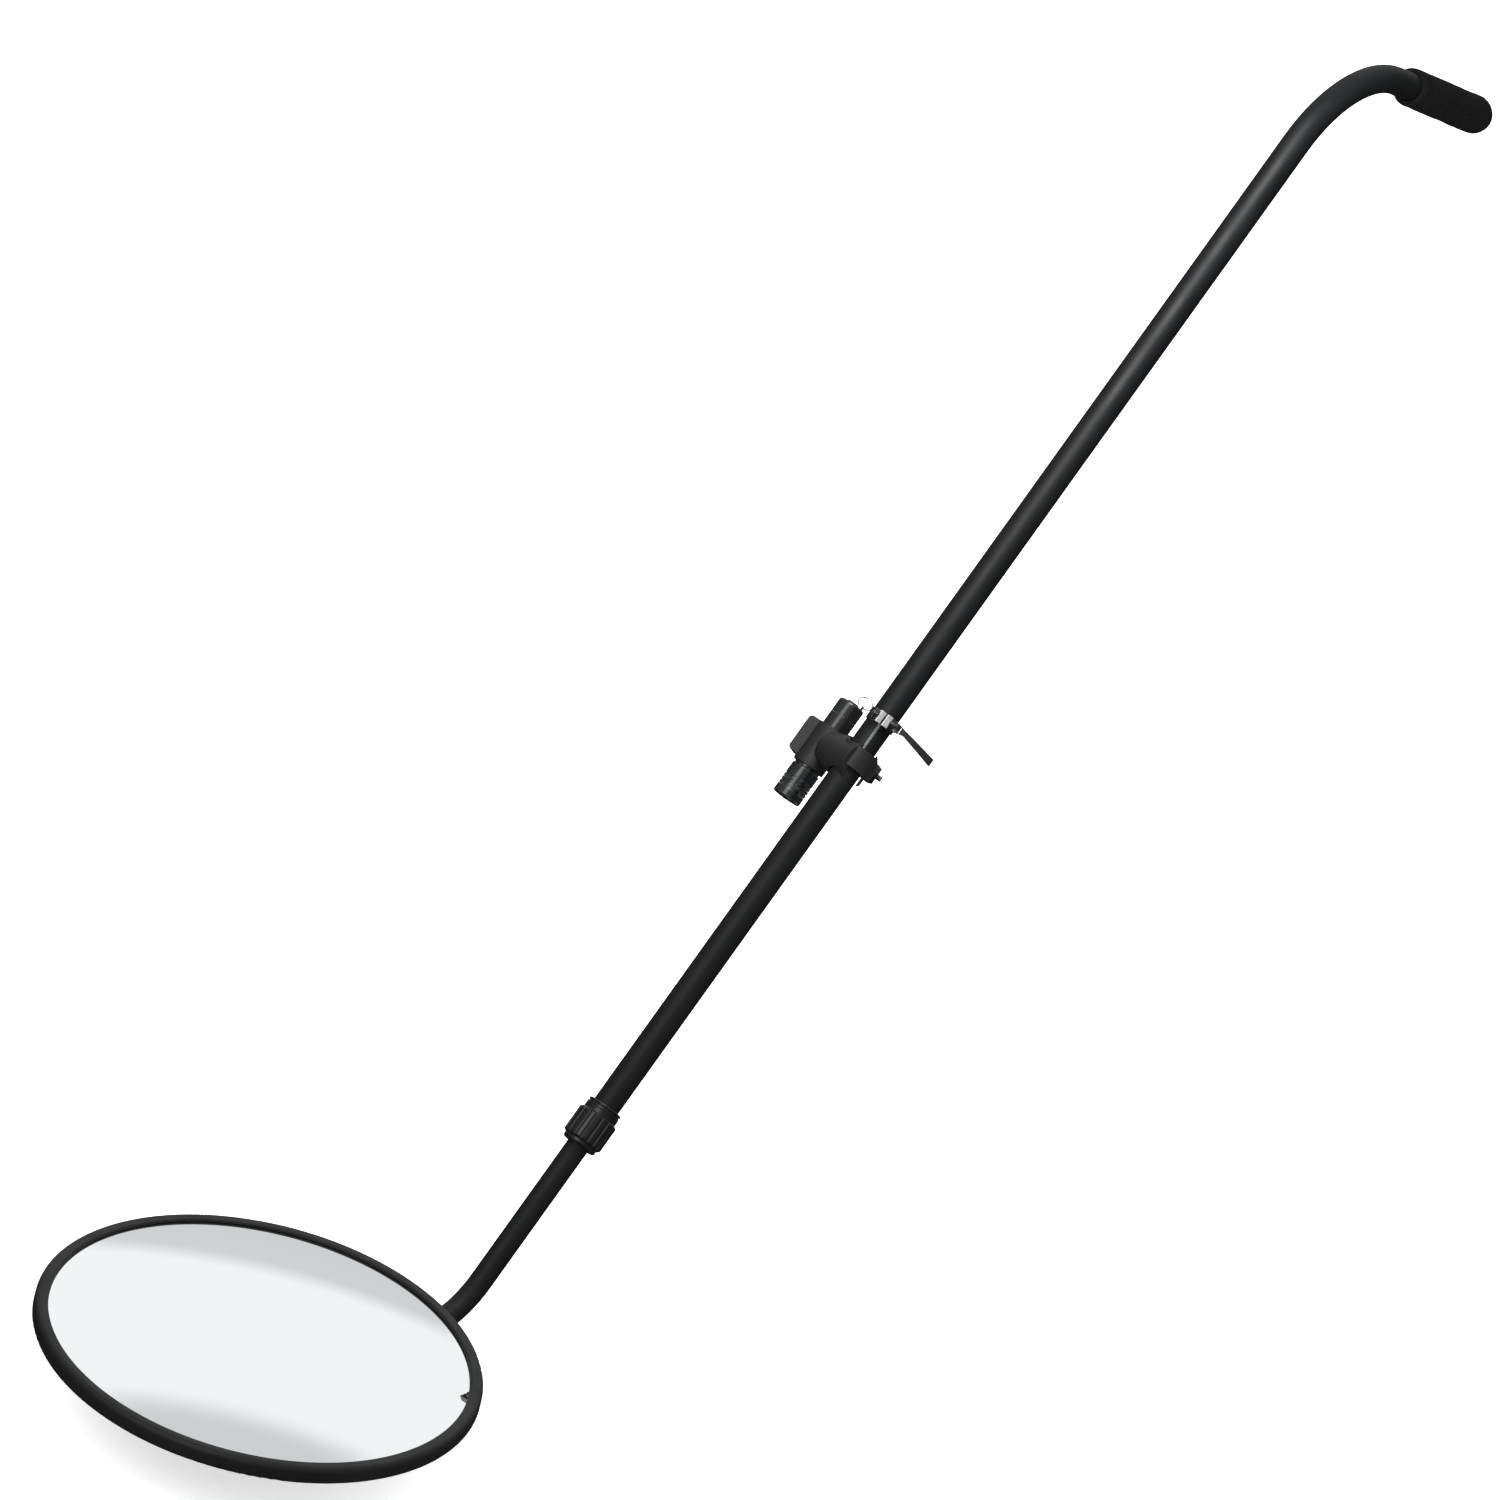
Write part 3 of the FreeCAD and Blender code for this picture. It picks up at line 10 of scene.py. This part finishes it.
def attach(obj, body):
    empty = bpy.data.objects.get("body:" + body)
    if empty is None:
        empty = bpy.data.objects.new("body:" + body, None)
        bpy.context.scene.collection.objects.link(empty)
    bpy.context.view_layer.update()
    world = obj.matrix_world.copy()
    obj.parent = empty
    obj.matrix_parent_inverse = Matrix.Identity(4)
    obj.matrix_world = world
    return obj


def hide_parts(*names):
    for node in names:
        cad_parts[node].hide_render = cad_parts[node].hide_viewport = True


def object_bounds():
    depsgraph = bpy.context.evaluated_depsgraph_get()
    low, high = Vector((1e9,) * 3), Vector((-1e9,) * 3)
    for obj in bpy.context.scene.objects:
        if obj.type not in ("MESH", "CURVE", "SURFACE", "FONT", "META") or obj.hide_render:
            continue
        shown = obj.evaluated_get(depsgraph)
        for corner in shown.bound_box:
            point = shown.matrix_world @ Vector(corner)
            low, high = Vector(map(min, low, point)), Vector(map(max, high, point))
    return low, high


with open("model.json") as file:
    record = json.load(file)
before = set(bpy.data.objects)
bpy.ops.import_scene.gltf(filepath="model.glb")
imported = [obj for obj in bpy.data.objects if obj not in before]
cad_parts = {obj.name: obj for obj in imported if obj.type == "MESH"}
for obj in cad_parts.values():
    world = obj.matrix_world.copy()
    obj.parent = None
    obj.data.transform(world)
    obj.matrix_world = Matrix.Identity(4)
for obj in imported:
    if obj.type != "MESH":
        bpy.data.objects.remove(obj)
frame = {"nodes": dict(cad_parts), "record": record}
cad_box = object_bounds()
record = frame["record"]


# ---------------------------------------------------------------- camera and stage

def unit(x, y, z):
    return Vector((x, y, z)).normalized()


LENS = 1323.8  # millimetres of a 36 mm sensor: next to no perspective
CAMERA_PLACE = Vector((-26.7010, -16.8575, 18.1172))
RIGHT = unit(0.63232, -0.74462, 0.21383)
BACK = RIGHT.cross(unit(0.28009, 0.47707, 0.83304)).normalized()
UP = BACK.cross(RIGHT)
MIDDLE = (cad_box[0] + cad_box[1]) / 2
MIRROR_LOOKS = Vector((-BACK.x, -BACK.y, BACK.z))  # where the level middle of the mirror sends the view
HOOK = RIGHT * 0.35 + UP * 0.40  # the bend above the grip, from the middle of the object


def make_camera():
    """A very long lens from 36 m away."""
    data = bpy.data.cameras.new("camera")
    data.lens = LENS
    data.sensor_width = 36
    data.clip_start = 5
    data.clip_end = 200
    camera = bpy.data.objects.new("camera", data)
    turn = Matrix((RIGHT, UP, BACK)).transposed()
    camera.matrix_world = Matrix.Translation(CAMERA_PLACE) @ turn.to_4x4()
    bpy.context.scene.collection.objects.link(camera)
    bpy.context.scene.camera = camera


def softbox(name, place, aim, width, height, power):
    """A large area light at one point that faces another, both measured from the middle of the object."""
    data = bpy.data.lights.new(name, "AREA")
    data.shape = "RECTANGLE"
    data.size = width
    data.size_y = height
    data.energy = power
    lamp = bpy.data.objects.new(name, data)
    lamp.location = MIDDLE + place
    lamp.rotation_euler = (place - aim).to_track_quat("Z", "Y").to_euler()
    lamp.visible_camera = False
    bpy.context.scene.collection.objects.link(lamp)


def make_world():
    """A pale studio. Gloss sees a grey room, and a bright window where the mirror looks."""
    world = bpy.data.worlds.new("studio")
    bpy.context.scene.world = world
    world.use_nodes = True
    nodes, links = world.node_tree.nodes, world.node_tree.links
    place = nodes.new("ShaderNodeTexCoord").outputs["Generated"]

    def along(direction, low, high):
        """0 to 1 as a ray turns towards the given direction, from one cosine to another."""
        facing = nodes.new("ShaderNodeVectorMath")
        facing.operation = "DOT_PRODUCT"
        facing.inputs[1].default_value = direction
        links.new(place, facing.inputs[0])
        span = nodes.new("ShaderNodeMapRange")
        span.interpolation_type = "SMOOTHSTEP"
        span.inputs["From Min"].default_value = low
        span.inputs["From Max"].default_value = high
        links.new(facing.outputs["Value"], span.inputs["Value"])
        return span.outputs[0]

    def mixed(share, first, second):
        mix = nodes.new("ShaderNodeMix")
        mix.data_type = "RGBA"
        links.new(share, mix.inputs["Factor"])
        sockets = [socket for socket in mix.inputs if socket.type == "RGBA"]
        for socket, colour in zip(sockets, (first, second)):
            if isinstance(colour, float):
                socket.default_value = (colour * 0.98, colour * 0.99, colour, 1)
            else:
                links.new(colour, socket)
        return next(socket for socket in mix.outputs if socket.type == "RGBA")

    def times(first, second):
        product = nodes.new("ShaderNodeMath")
        product.operation = "MULTIPLY"
        links.new(first, product.inputs[0])
        links.new(second, product.inputs[1])
        return product.outputs[0]

    grey_below, grey_above, glow, window_white, daylight = 0.04, 0.42, 0.68, 0.97, 1.45
    across = Vector((0, 0, 1)).cross(MIRROR_LOOKS).normalized()
    over = MIRROR_LOOKS.cross(across)
    room = mixed(along((0, 0, 1), -0.1, 0.9), grey_below, grey_above)
    room = mixed(along(MIRROR_LOOKS, 0.55, 0.98), room, glow)
    window = times(along(across, -0.44, -0.36), along(-across, -0.30, -0.22))
    window = times(window, times(along(over, -0.24, -0.16), along(-over, -0.34, -0.26)))
    window = times(window, along(MIRROR_LOOKS, 0.0, 0.1))
    room = mixed(window, room, window_white)
    path = nodes.new("ShaderNodeLightPath").outputs["Is Glossy Ray"]
    links.new(mixed(path, daylight, room), nodes["Background"].inputs["Color"])


def make_floor():
    """A pale floor that glows a little, so that shadows on it stay light."""
    size = 40.0
    mesh = bpy.data.meshes.new("floor")
    below = 0.0005
    low = cad_box[0].z - below
    corners = [(-size, -size, low), (size, -size, low), (size, size, low), (-size, size, low)]
    mesh.from_pydata(corners, [], [(0, 1, 2, 3)])
    floor = bpy.data.objects.new("floor", mesh)
    bpy.context.scene.collection.objects.link(floor)
    surface = Surface("floor_paint")
    patches = surface.noise(0.8, 3)
    surface.set("Base Color", surface.mix(patches, (0.93, 0.93, 0.93), (0.95, 0.95, 0.95)))
    surface.shader.inputs["Roughness"].default_value = 0.9
    surface.shader.inputs["Specular IOR Level"].default_value = 0.0
    surface.shader.inputs["Emission Color"].default_value = (1.0, 1.0, 1.0, 1)
    surface.shader.inputs["Emission Strength"].default_value = 0.5
    mesh.materials.append(surface.material)
    floor.visible_glossy = False


# ---------------------------------------------------------------- materials

class Surface:
    """One procedural material under construction. Patterns are laid out in the row frame, in metres."""

    def __init__(self, name, **constants):
        self.material = bpy.data.materials.new(name)
        self.material.use_nodes = True
        self.nodes = self.material.node_tree.nodes
        self.links = self.material.node_tree.links
        self.shader = self.nodes["Principled BSDF"]
        self.place = self.nodes.new("ShaderNodeTexCoord").outputs["Object"]
        for socket, value in constants.items():
            self.shader.inputs[socket.replace("_", " ")].default_value = value

    def add(self, kind, *inputs, **settings):
        """A node with its leading inputs filled by values or by other nodes' outputs."""
        node = self.nodes.new(kind)
        for key, value in settings.items():
            setattr(node, key, value)
        for index, value in enumerate(inputs):
            self.feed(node.inputs[index], value)
        return node

    def feed(self, socket, value):
        if value is None:
            return
        if isinstance(value, bpy.types.NodeSocket):
            self.links.new(value, socket)
        elif isinstance(value, bpy.types.Node):
            self.links.new(value.outputs[0], socket)
        else:
            socket.default_value = value

    def set(self, socket, value):
        self.feed(self.shader.inputs[socket], value)

    def math(self, operation, *inputs):
        return self.add("ShaderNodeMath", *inputs, operation=operation).outputs[0]

    def vector(self, operation, *inputs):
        node = self.add("ShaderNodeVectorMath", *inputs, operation=operation)
        return node.outputs["Value" if operation in ("DOT_PRODUCT", "LENGTH") else "Vector"]

    def noise(self, scale, detail=2.0, place=None, roughness=0.55):
        node = self.nodes.new("ShaderNodeTexNoise")
        self.feed(node.inputs["Vector"], place or self.place)
        node.inputs["Scale"].default_value = scale
        node.inputs["Detail"].default_value = detail
        node.inputs["Roughness"].default_value = roughness
        return node.outputs["Fac"]

    def cells(self, scale, feature="F1", place=None):
        node = self.nodes.new("ShaderNodeTexVoronoi")
        node.feature = feature
        self.feed(node.inputs["Vector"], place or self.place)
        node.inputs["Scale"].default_value = scale
        return node.outputs["Distance"]

    def range(self, value, low, high, to_low, to_high):
        node = self.nodes.new("ShaderNodeMapRange")
        for index, item in enumerate((value, low, high, to_low, to_high)):
            self.feed(node.inputs[index], item)
        return node.outputs[0]

    def mix(self, share, first, second):
        node = self.nodes.new("ShaderNodeMix")
        node.data_type = "RGBA"
        self.feed(node.inputs["Factor"], share)
        for name, colour in (("A", first), ("B", second)):
            socket = next(s for s in node.inputs if s.name == name and s.type == "RGBA")
            self.feed(socket, colour if not isinstance(colour, tuple) else (*colour, 1))
        return next(s for s in node.outputs if s.type == "RGBA")

    def bump(self, height, distance, strength=1.0, normal=None):
        node = self.nodes.new("ShaderNodeBump")
        self.feed(node.inputs["Height"], height)
        node.inputs["Distance"].default_value = distance
        node.inputs["Strength"].default_value = strength
        self.feed(node.inputs["Normal"], normal)
        return node.outputs["Normal"]

    def rounded(self, radius):
        """The normal of the surface with its edges rounded off."""
        node = self.nodes.new("ShaderNodeBevel")
        node.samples = 4
        node.inputs["Radius"].default_value = radius
        return node.outputs["Normal"]

    def edges(self, radius, spread):
        """1 along convex and concave edges, broken up by noise, and 0 elsewhere."""
        true_normal = self.nodes.new("ShaderNodeNewGeometry").outputs["Normal"]
        turned = self.vector("DOT_PRODUCT", self.rounded(radius), true_normal)
        edge = self.range(turned, 0.99, 0.85, 0.0, 1.0)
        broken = self.range(self.noise(spread, 4), 0.42, 0.62, 0.0, 1.0)
        return self.math("MULTIPLY", edge, broken)

    def turned_lines(self, middle, axis, scale):
        """Fine rings round an axis, as a lathe leaves them: noise along and across the axis only."""
        from_middle = self.vector("SUBTRACT", self.place, tuple(middle))
        along = self.vector("DOT_PRODUCT", from_middle, tuple(axis))
        across = self.vector("LENGTH", self.vector("CROSS_PRODUCT", from_middle, tuple(axis)))
        lined = self.add("ShaderNodeCombineXYZ", along, across)
        return self.noise(scale, 3, lined.outputs[0], 0.7)


def coated(name, dark, light, gloss, grain, depth, edge=0.0, rub=None, **constants):
    """Paint, plastic or rubber: two close colours in patches, uneven gloss, fine grain, rubbed edges."""
    surface = Surface(name, **constants)
    patches = surface.range(surface.noise(18, 4), 0.35, 0.65, 0.0, 1.0)
    colour = surface.mix(patches, dark, light)
    specks = surface.range(surface.noise(grain * 0.5, 2), 0.64, 0.78, 0.0, 0.6)
    colour = surface.mix(specks, colour, tuple(min(1.0, c * 2.2) for c in light))
    if rub:
        colour = surface.mix(surface.edges(edge * 1.6, 260), colour, rub)
    surface.set("Base Color", colour)
    smears = surface.noise(45, 5)
    surface.set("Roughness", surface.range(smears, 0.3, 0.7, gloss[0], gloss[1]))
    normal = surface.rounded(edge) if edge else None
    normal = surface.bump(surface.noise(grain, 3), depth, 1.0, normal)
    surface.set("Normal", normal)
    return surface


def scratched(surface, axis, amount, colour):
    """Fine rub marks drawn out along an axis."""
    along = surface.vector("DOT_PRODUCT", surface.place, tuple(axis))
    lift = surface.vector("SCALE", tuple(axis))
    squeeze = 0.97
    surface.feed(lift.node.inputs["Scale"], surface.math("MULTIPLY", along, -squeeze))
    drawn = surface.vector("ADD", surface.place, lift)
    marks = surface.range(surface.noise(900, 3, drawn, 0.6), 0.62, 0.70, 0.0, amount)
    worn = surface.range(surface.noise(14, 3), 0.45, 0.6, 0.0, 1.0)
    marks = surface.math("MULTIPLY", marks, worn)
    was = surface.shader.inputs["Base Color"].links[0].from_socket
    surface.set("Base Color", surface.mix(marks, was, colour))
    return surface


def metal(name, dark, light, gloss, grain, edge, **constants):
    """Bare or plated metal with fine polish marks, uneven gloss and bright edges."""
    surface = Surface(name, Metallic=0.85, **constants)
    patches = surface.noise(60, 4)
    colour = surface.mix(surface.range(patches, 0.35, 0.65, 0.0, 1.0), dark, light)
    surface.set("Base Color", surface.mix(surface.edges(edge * 1.5, 400), colour, (0.8, 0.8, 0.8)))
    surface.set("Roughness", surface.range(surface.noise(220, 4), 0.3, 0.7, gloss[0], gloss[1]))
    surface.set("Normal", surface.bump(surface.noise(grain, 4), 0.00001, 0.6, surface.rounded(edge)))
    return surface


def foam_surface():
    """Closed-cell foam: a matt skin full of small open pores, with painted shade darkening the pores."""
    surface = Surface("grip_foam", Specular_IOR_Level=0.12)
    pores = surface.cells(1150)
    fine = surface.cells(2600)
    pore_depth_and_shade = surface.range(pores, 0.12, 0.62, 0.0, 1.0)
    height = surface.math("ADD", pore_depth_and_shade, surface.math("MULTIPLY", fine, 0.35))
    # the pores are painted darker than the skin around them: painted shade in the pores
    colour = surface.mix(pore_depth_and_shade, (0.0008, 0.0008, 0.0010), (0.0042, 0.0043, 0.0048))
    dust = surface.range(surface.noise(1900, 2), 0.66, 0.76, 0.0, 0.5)
    surface.set("Base Color", surface.mix(dust, colour, (0.02, 0.02, 0.021)))
    surface.set("Roughness", surface.range(surface.noise(80, 3), 0.3, 0.7, 0.86, 0.98))
    surface.set("Normal", surface.bump(height, 0.0004, 0.9))
    return surface


def mirror_surface():
    """Silvered acrylic: a near-perfect mirror with faint waviness, smears and a little dust."""
    surface = Surface("mirror_silver", Metallic=1.0)
    dust = surface.range(surface.noise(1500, 2), 0.72, 0.80, 0.0, 0.25)
    tint = surface.mix(surface.noise(3, 2), (0.90, 0.92, 0.92), (0.94, 0.95, 0.95))
    surface.set("Base Color", surface.mix(dust, tint, (0.62, 0.63, 0.63)))
    smears = surface.range(surface.noise(24, 5, None, 0.7), 0.50, 0.75, 0.012, 0.05)
    surface.set("Roughness", smears)
    surface.set("Normal", surface.bump(surface.noise(7, 1), 0.00006, 0.5))
    return surface


def lens_surface():
    """Clear plastic with faint smears."""
    surface = Surface("lens_clear", Transmission_Weight=1.0, IOR=1.49)
    surface.set("Base Color", surface.mix(surface.noise(400, 2), (0.97, 0.98, 0.98), (0.99, 1.0, 1.0)))
    surface.set("Roughness", surface.range(surface.noise(180, 3), 0.4, 0.7, 0.01, 0.05))
    return surface


def rod(node):
    """Middle, axis and half length of a round node."""
    points = np.array([v.co for v in frame["nodes"][node].data.vertices])
    middle = (points.min(0) + points.max(0)) / 2
    axis = np.linalg.svd(points - points.mean(0), full_matrices=False)[2][0]
    reach = (points - middle) @ axis
    middle = middle + axis * (reach.max() + reach.min()) / 2
    return Vector(middle), Vector(axis), (reach.max() - reach.min()) / 2


def make_materials():
    """One material for each slot of the record."""
    made = {}
    pole = rod("main_tube")[1]
    tube = coated("tube_black", (0.0018, 0.0022, 0.0027), (0.0027, 0.0032, 0.0038), (0.50, 0.60),
                  1300, 0.00003, Specular_IOR_Level=0.30)
    made["tube_black"] = scratched(tube, pole, 0.25, (0.02, 0.021, 0.023))
    steel = metal("inner_steel", (0.30, 0.31, 0.32), (0.45, 0.46, 0.47), (0.22, 0.34), 900, 0.0003)
    made["inner_steel"] = scratched(steel, pole, 0.5, (0.62, 0.62, 0.62))
    made["grip_foam"] = foam_surface()
    made["black_plastic"] = coated("black_plastic", (0.0022, 0.0023, 0.0026), (0.0034, 0.0035, 0.0039),
                                   (0.24, 0.34), 2200, 0.00002, 0.0005, (0.012, 0.0125, 0.013),
                                   Specular_IOR_Level=0.5)
    made["grey_plastic"] = coated("grey_plastic", (0.0055, 0.0058, 0.0063), (0.0078, 0.0081, 0.0088),
                                  (0.46, 0.56), 1500, 0.00004, 0.0006, (0.022, 0.022, 0.024),
                                  Specular_IOR_Level=0.45)
    made["natural_nylon"] = coated("natural_nylon", (0.62, 0.60, 0.53), (0.68, 0.66, 0.60),
                                   (0.35, 0.5), 1800, 0.00003, 0.0003, None, Subsurface_Weight=0.1)
    made["bright_metal"] = metal("bright_metal", (0.62, 0.62, 0.60), (0.76, 0.76, 0.74),
                                 (0.16, 0.30), 1500, 0.0003)
    made["black_steel"] = metal("black_steel", (0.030, 0.031, 0.034), (0.050, 0.051, 0.054),
                                (0.26, 0.40), 1500, 0.0003)
    made["rim_rubber"] = coated("rim_rubber", (0.0030, 0.0030, 0.0034), (0.0050, 0.0050, 0.0055),
                                (0.48, 0.62), 1700, 0.00005, 0.0, None, Specular_IOR_Level=0.35)
    made["seal_rubber"] = coated("seal_rubber", (0.007, 0.007, 0.0075), (0.012, 0.012, 0.0125),
                                 (0.55, 0.7), 1400, 0.00005, 0.0004, None, Specular_IOR_Level=0.35)
    made["mirror_silver"] = mirror_surface()
    made["felt"] = coated("felt", (0.16, 0.16, 0.165), (0.24, 0.24, 0.245), (0.9, 1.0),
                          1600, 0.0005, 0.0, None, Sheen_Weight=0.3)
    alloy = coated("lamp_alloy", (0.0045, 0.005, 0.0055), (0.007, 0.0075, 0.008), (0.16, 0.26),
                   2500, 0.00001, 0.0003, (0.20, 0.21, 0.215), Specular_IOR_Level=0.6, Coat_Weight=0.35,
                   Coat_Roughness=0.12)
    middle, axis, _ = rod("lamp_body")
    lines = alloy.turned_lines(middle, axis, 4200)
    was = alloy.shader.inputs["Normal"].links[0].from_socket
    alloy.set("Normal", alloy.bump(lines, 0.000006, 0.5, was))
    made["lamp_alloy"] = alloy
    made["lens_clear"] = lens_surface()
    made["reflector_chrome"] = metal("reflector_chrome", (0.80, 0.80, 0.80), (0.88, 0.88, 0.88),
                                     (0.05, 0.12), 1200, 0.0002)
    made["led_yellow"] = coated("led_yellow", (0.80, 0.60, 0.06), (0.85, 0.68, 0.12), (0.4, 0.5),
                                2500, 0.00003, 0.0, None)
    made["cell_jacket"] = coated("cell_jacket", (0.06, 0.10, 0.16), (0.08, 0.13, 0.20), (0.25, 0.35),
                                 900, 0.00002, 0.0003, None)
    return made


# ---------------------------------------------------------------- pieces

def piece(name, mesh, body, material, *nodes):
    """A new object that rides on a body, has a slot's finish and stands for CAD nodes."""
    made = bpy.data.objects.new(name, mesh)
    bpy.context.scene.collection.objects.link(made)
    mesh.materials.append(MATERIALS[material].material)
    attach(made, body)
    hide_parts(*nodes)
    return made


def lathe(name, rings, sides, middle, axis, shape=None):
    """A mesh of rings (radius, height) round an axis; shape(point, ring) may move each point."""
    turn = axis.to_track_quat("Z", "Y").to_matrix()
    work = bmesh.new()
    rows = []
    for index, (radius, height) in enumerate(rings):
        row = []
        for side in range(sides):
            angle = 2 * math.pi * side / sides
            point = Vector((radius * math.cos(angle), radius * math.sin(angle), height))
            if shape:
                point = shape(point, index)
            row.append(work.verts.new(middle + turn @ point))
        rows.append(row)
    for low, high in zip(rows, rows[1:]):
        for side in range(sides):
            after = (side + 1) % sides
            work.faces.new((low[side], low[after], high[after], high[side]))
    for row, flip in ((rows[0], True), (rows[-1], False)):
        centre = sum((v.co for v in row), Vector()) / sides
        tip = work.verts.new(centre)
        for side in range(sides):
            after = (side + 1) % sides
            corners = (row[after], row[side], tip) if flip else (row[side], row[after], tip)
            work.faces.new(corners)
    bmesh.ops.recalc_face_normals(work, faces=work.faces)
    mesh = bpy.data.meshes.new(name)
    work.to_mesh(mesh)
    work.free()
    mesh.polygons.foreach_set("use_smooth", [True] * len(mesh.polygons))
    return mesh


def foam_grip():
    """The foam sleeve: bevelled mouth, domed far end, and a surface that isn't quite straight."""
    droop = math.radians(30)  # how far the handle falls
    axis = unit(math.cos(droop), 0, -math.sin(droop))
    skin_room = 0.0001  # the sleeve stays this far inside the CAD's
    points = np.array([v.co for v in frame["nodes"]["foam_grip"].data.vertices])
    along = points @ np.array(axis)
    round_by = np.linalg.norm(points - np.outer(along, axis), axis=1)
    radius = round_by.max() - skin_room
    near, far = along.min(), along.max()
    bore = round_by[along < near + 0.0005].min() + skin_room
    plug = np.array([v.co for v in frame["nodes"]["grip_plug"].data.vertices])
    bottom = (plug @ np.array(axis)).max() + 0.0003
    bore_steps = 12
    inside = [(0.001, bottom), (bore - 0.001, bottom), (bore, bottom - 0.001)]
    inside += [(bore, bottom - (bottom - near) * step / bore_steps) for step in range(1, bore_steps)]
    inside += [(bore, near + 0.001)]
    mouth = [(bore + 0.0004, near + 0.0001), (radius - 0.0032, near)]
    mouth += [(radius - 0.0018, near + 0.0006), (radius - 0.0006, near + 0.0018)]
    steps = 90
    start = near + 0.0032
    end = far - radius
    hold = [(radius, start + (end - start) * step / steps) for step in range(steps + 1)]
    dome_steps = 16
    dome = [
        (radius * math.cos(turn), end + radius * math.sin(turn))
        for turn in (math.pi / 2 * step / dome_steps for step in range(1, dome_steps))
    ]
    tip = [(radius * 0.03, far - 0.00002)]
    rings = inside + mouth + hold + dome + tip

    def shape(point, index):
        if index < len(inside):
            return point
        soft = noise.fractal(point * 60, 1.0, 2.0, 3) * 0.00030 - 0.00025
        skin = noise.noise(point * 900) * 0.00008
        outward = Vector((point.x, point.y, 0))
        if outward.length > 0.004:
            point = point + outward.normalized() * (soft + skin)
        return point

    mesh = lathe("foam_sleeve", rings, 96, Vector(), axis, shape)
    sleeve = piece("foam_sleeve", mesh, "handle", "grip_foam", "foam_grip")


def threaded(name, node, body, material, pitch, depth):
    """A rod with a real thread and chamfered ends."""
    middle, axis, half = rod(node)
    points = np.array([v.co for v in frame["nodes"][node].data.vertices]) - np.array(middle)
    radius = np.linalg.norm(points - np.outer(points @ np.array(axis), axis), axis=1).max()
    sides = 32
    rings_a_turn = 8
    count = int(2 * half / pitch * rings_a_turn)
    rings = [(radius, -half + 2 * half * step / count) for step in range(count + 1)]

    def shape(point, index):
        angle = math.atan2(point.y, point.x)
        phase = (point.z / pitch - angle / (2 * math.pi)) % 1.0
        fall = depth * (1 - abs(2 * phase - 1)) ** 0.8
        tip = max(0.0, abs(point.z) - half + depth * 1.5)
        size = (radius - max(fall, tip)) / radius
        return Vector((point.x * size, point.y * size, point.z))

    mesh = lathe(name, rings, sides, middle, axis, shape)
    return piece(name, mesh, body, material, node)


# ---------------------------------------------------------------- build

MATERIALS = make_materials()
slot_of = {part["node"]: part["material_slot"] for part in record["subparts"]}
for name, node in frame["nodes"].items():
    node.data.materials.clear()
    node.data.materials.append(MATERIALS[slot_of[name]].material)

foam_grip()
threaded("bracket_thread", "bracket_stud", "bracket", "black_steel", pitch=0.0007, depth=0.0003)

make_camera()
make_world()
make_floor()
softbox("key", BACK * 2.2 - RIGHT * 0.9 + UP * 0.9, Vector(), 1.2, 1.6, 14)
softbox("side", RIGHT * 2.2 + UP * 0.6 + BACK * 0.9, Vector(), 0.5, 2.2, 3)
softbox("high", HOOK + BACK * 0.40 - RIGHT * 0.16 + UP * 0.12, HOOK, 0.30, 0.30, 6)
bpy.context.scene.view_settings.view_transform = "Standard"
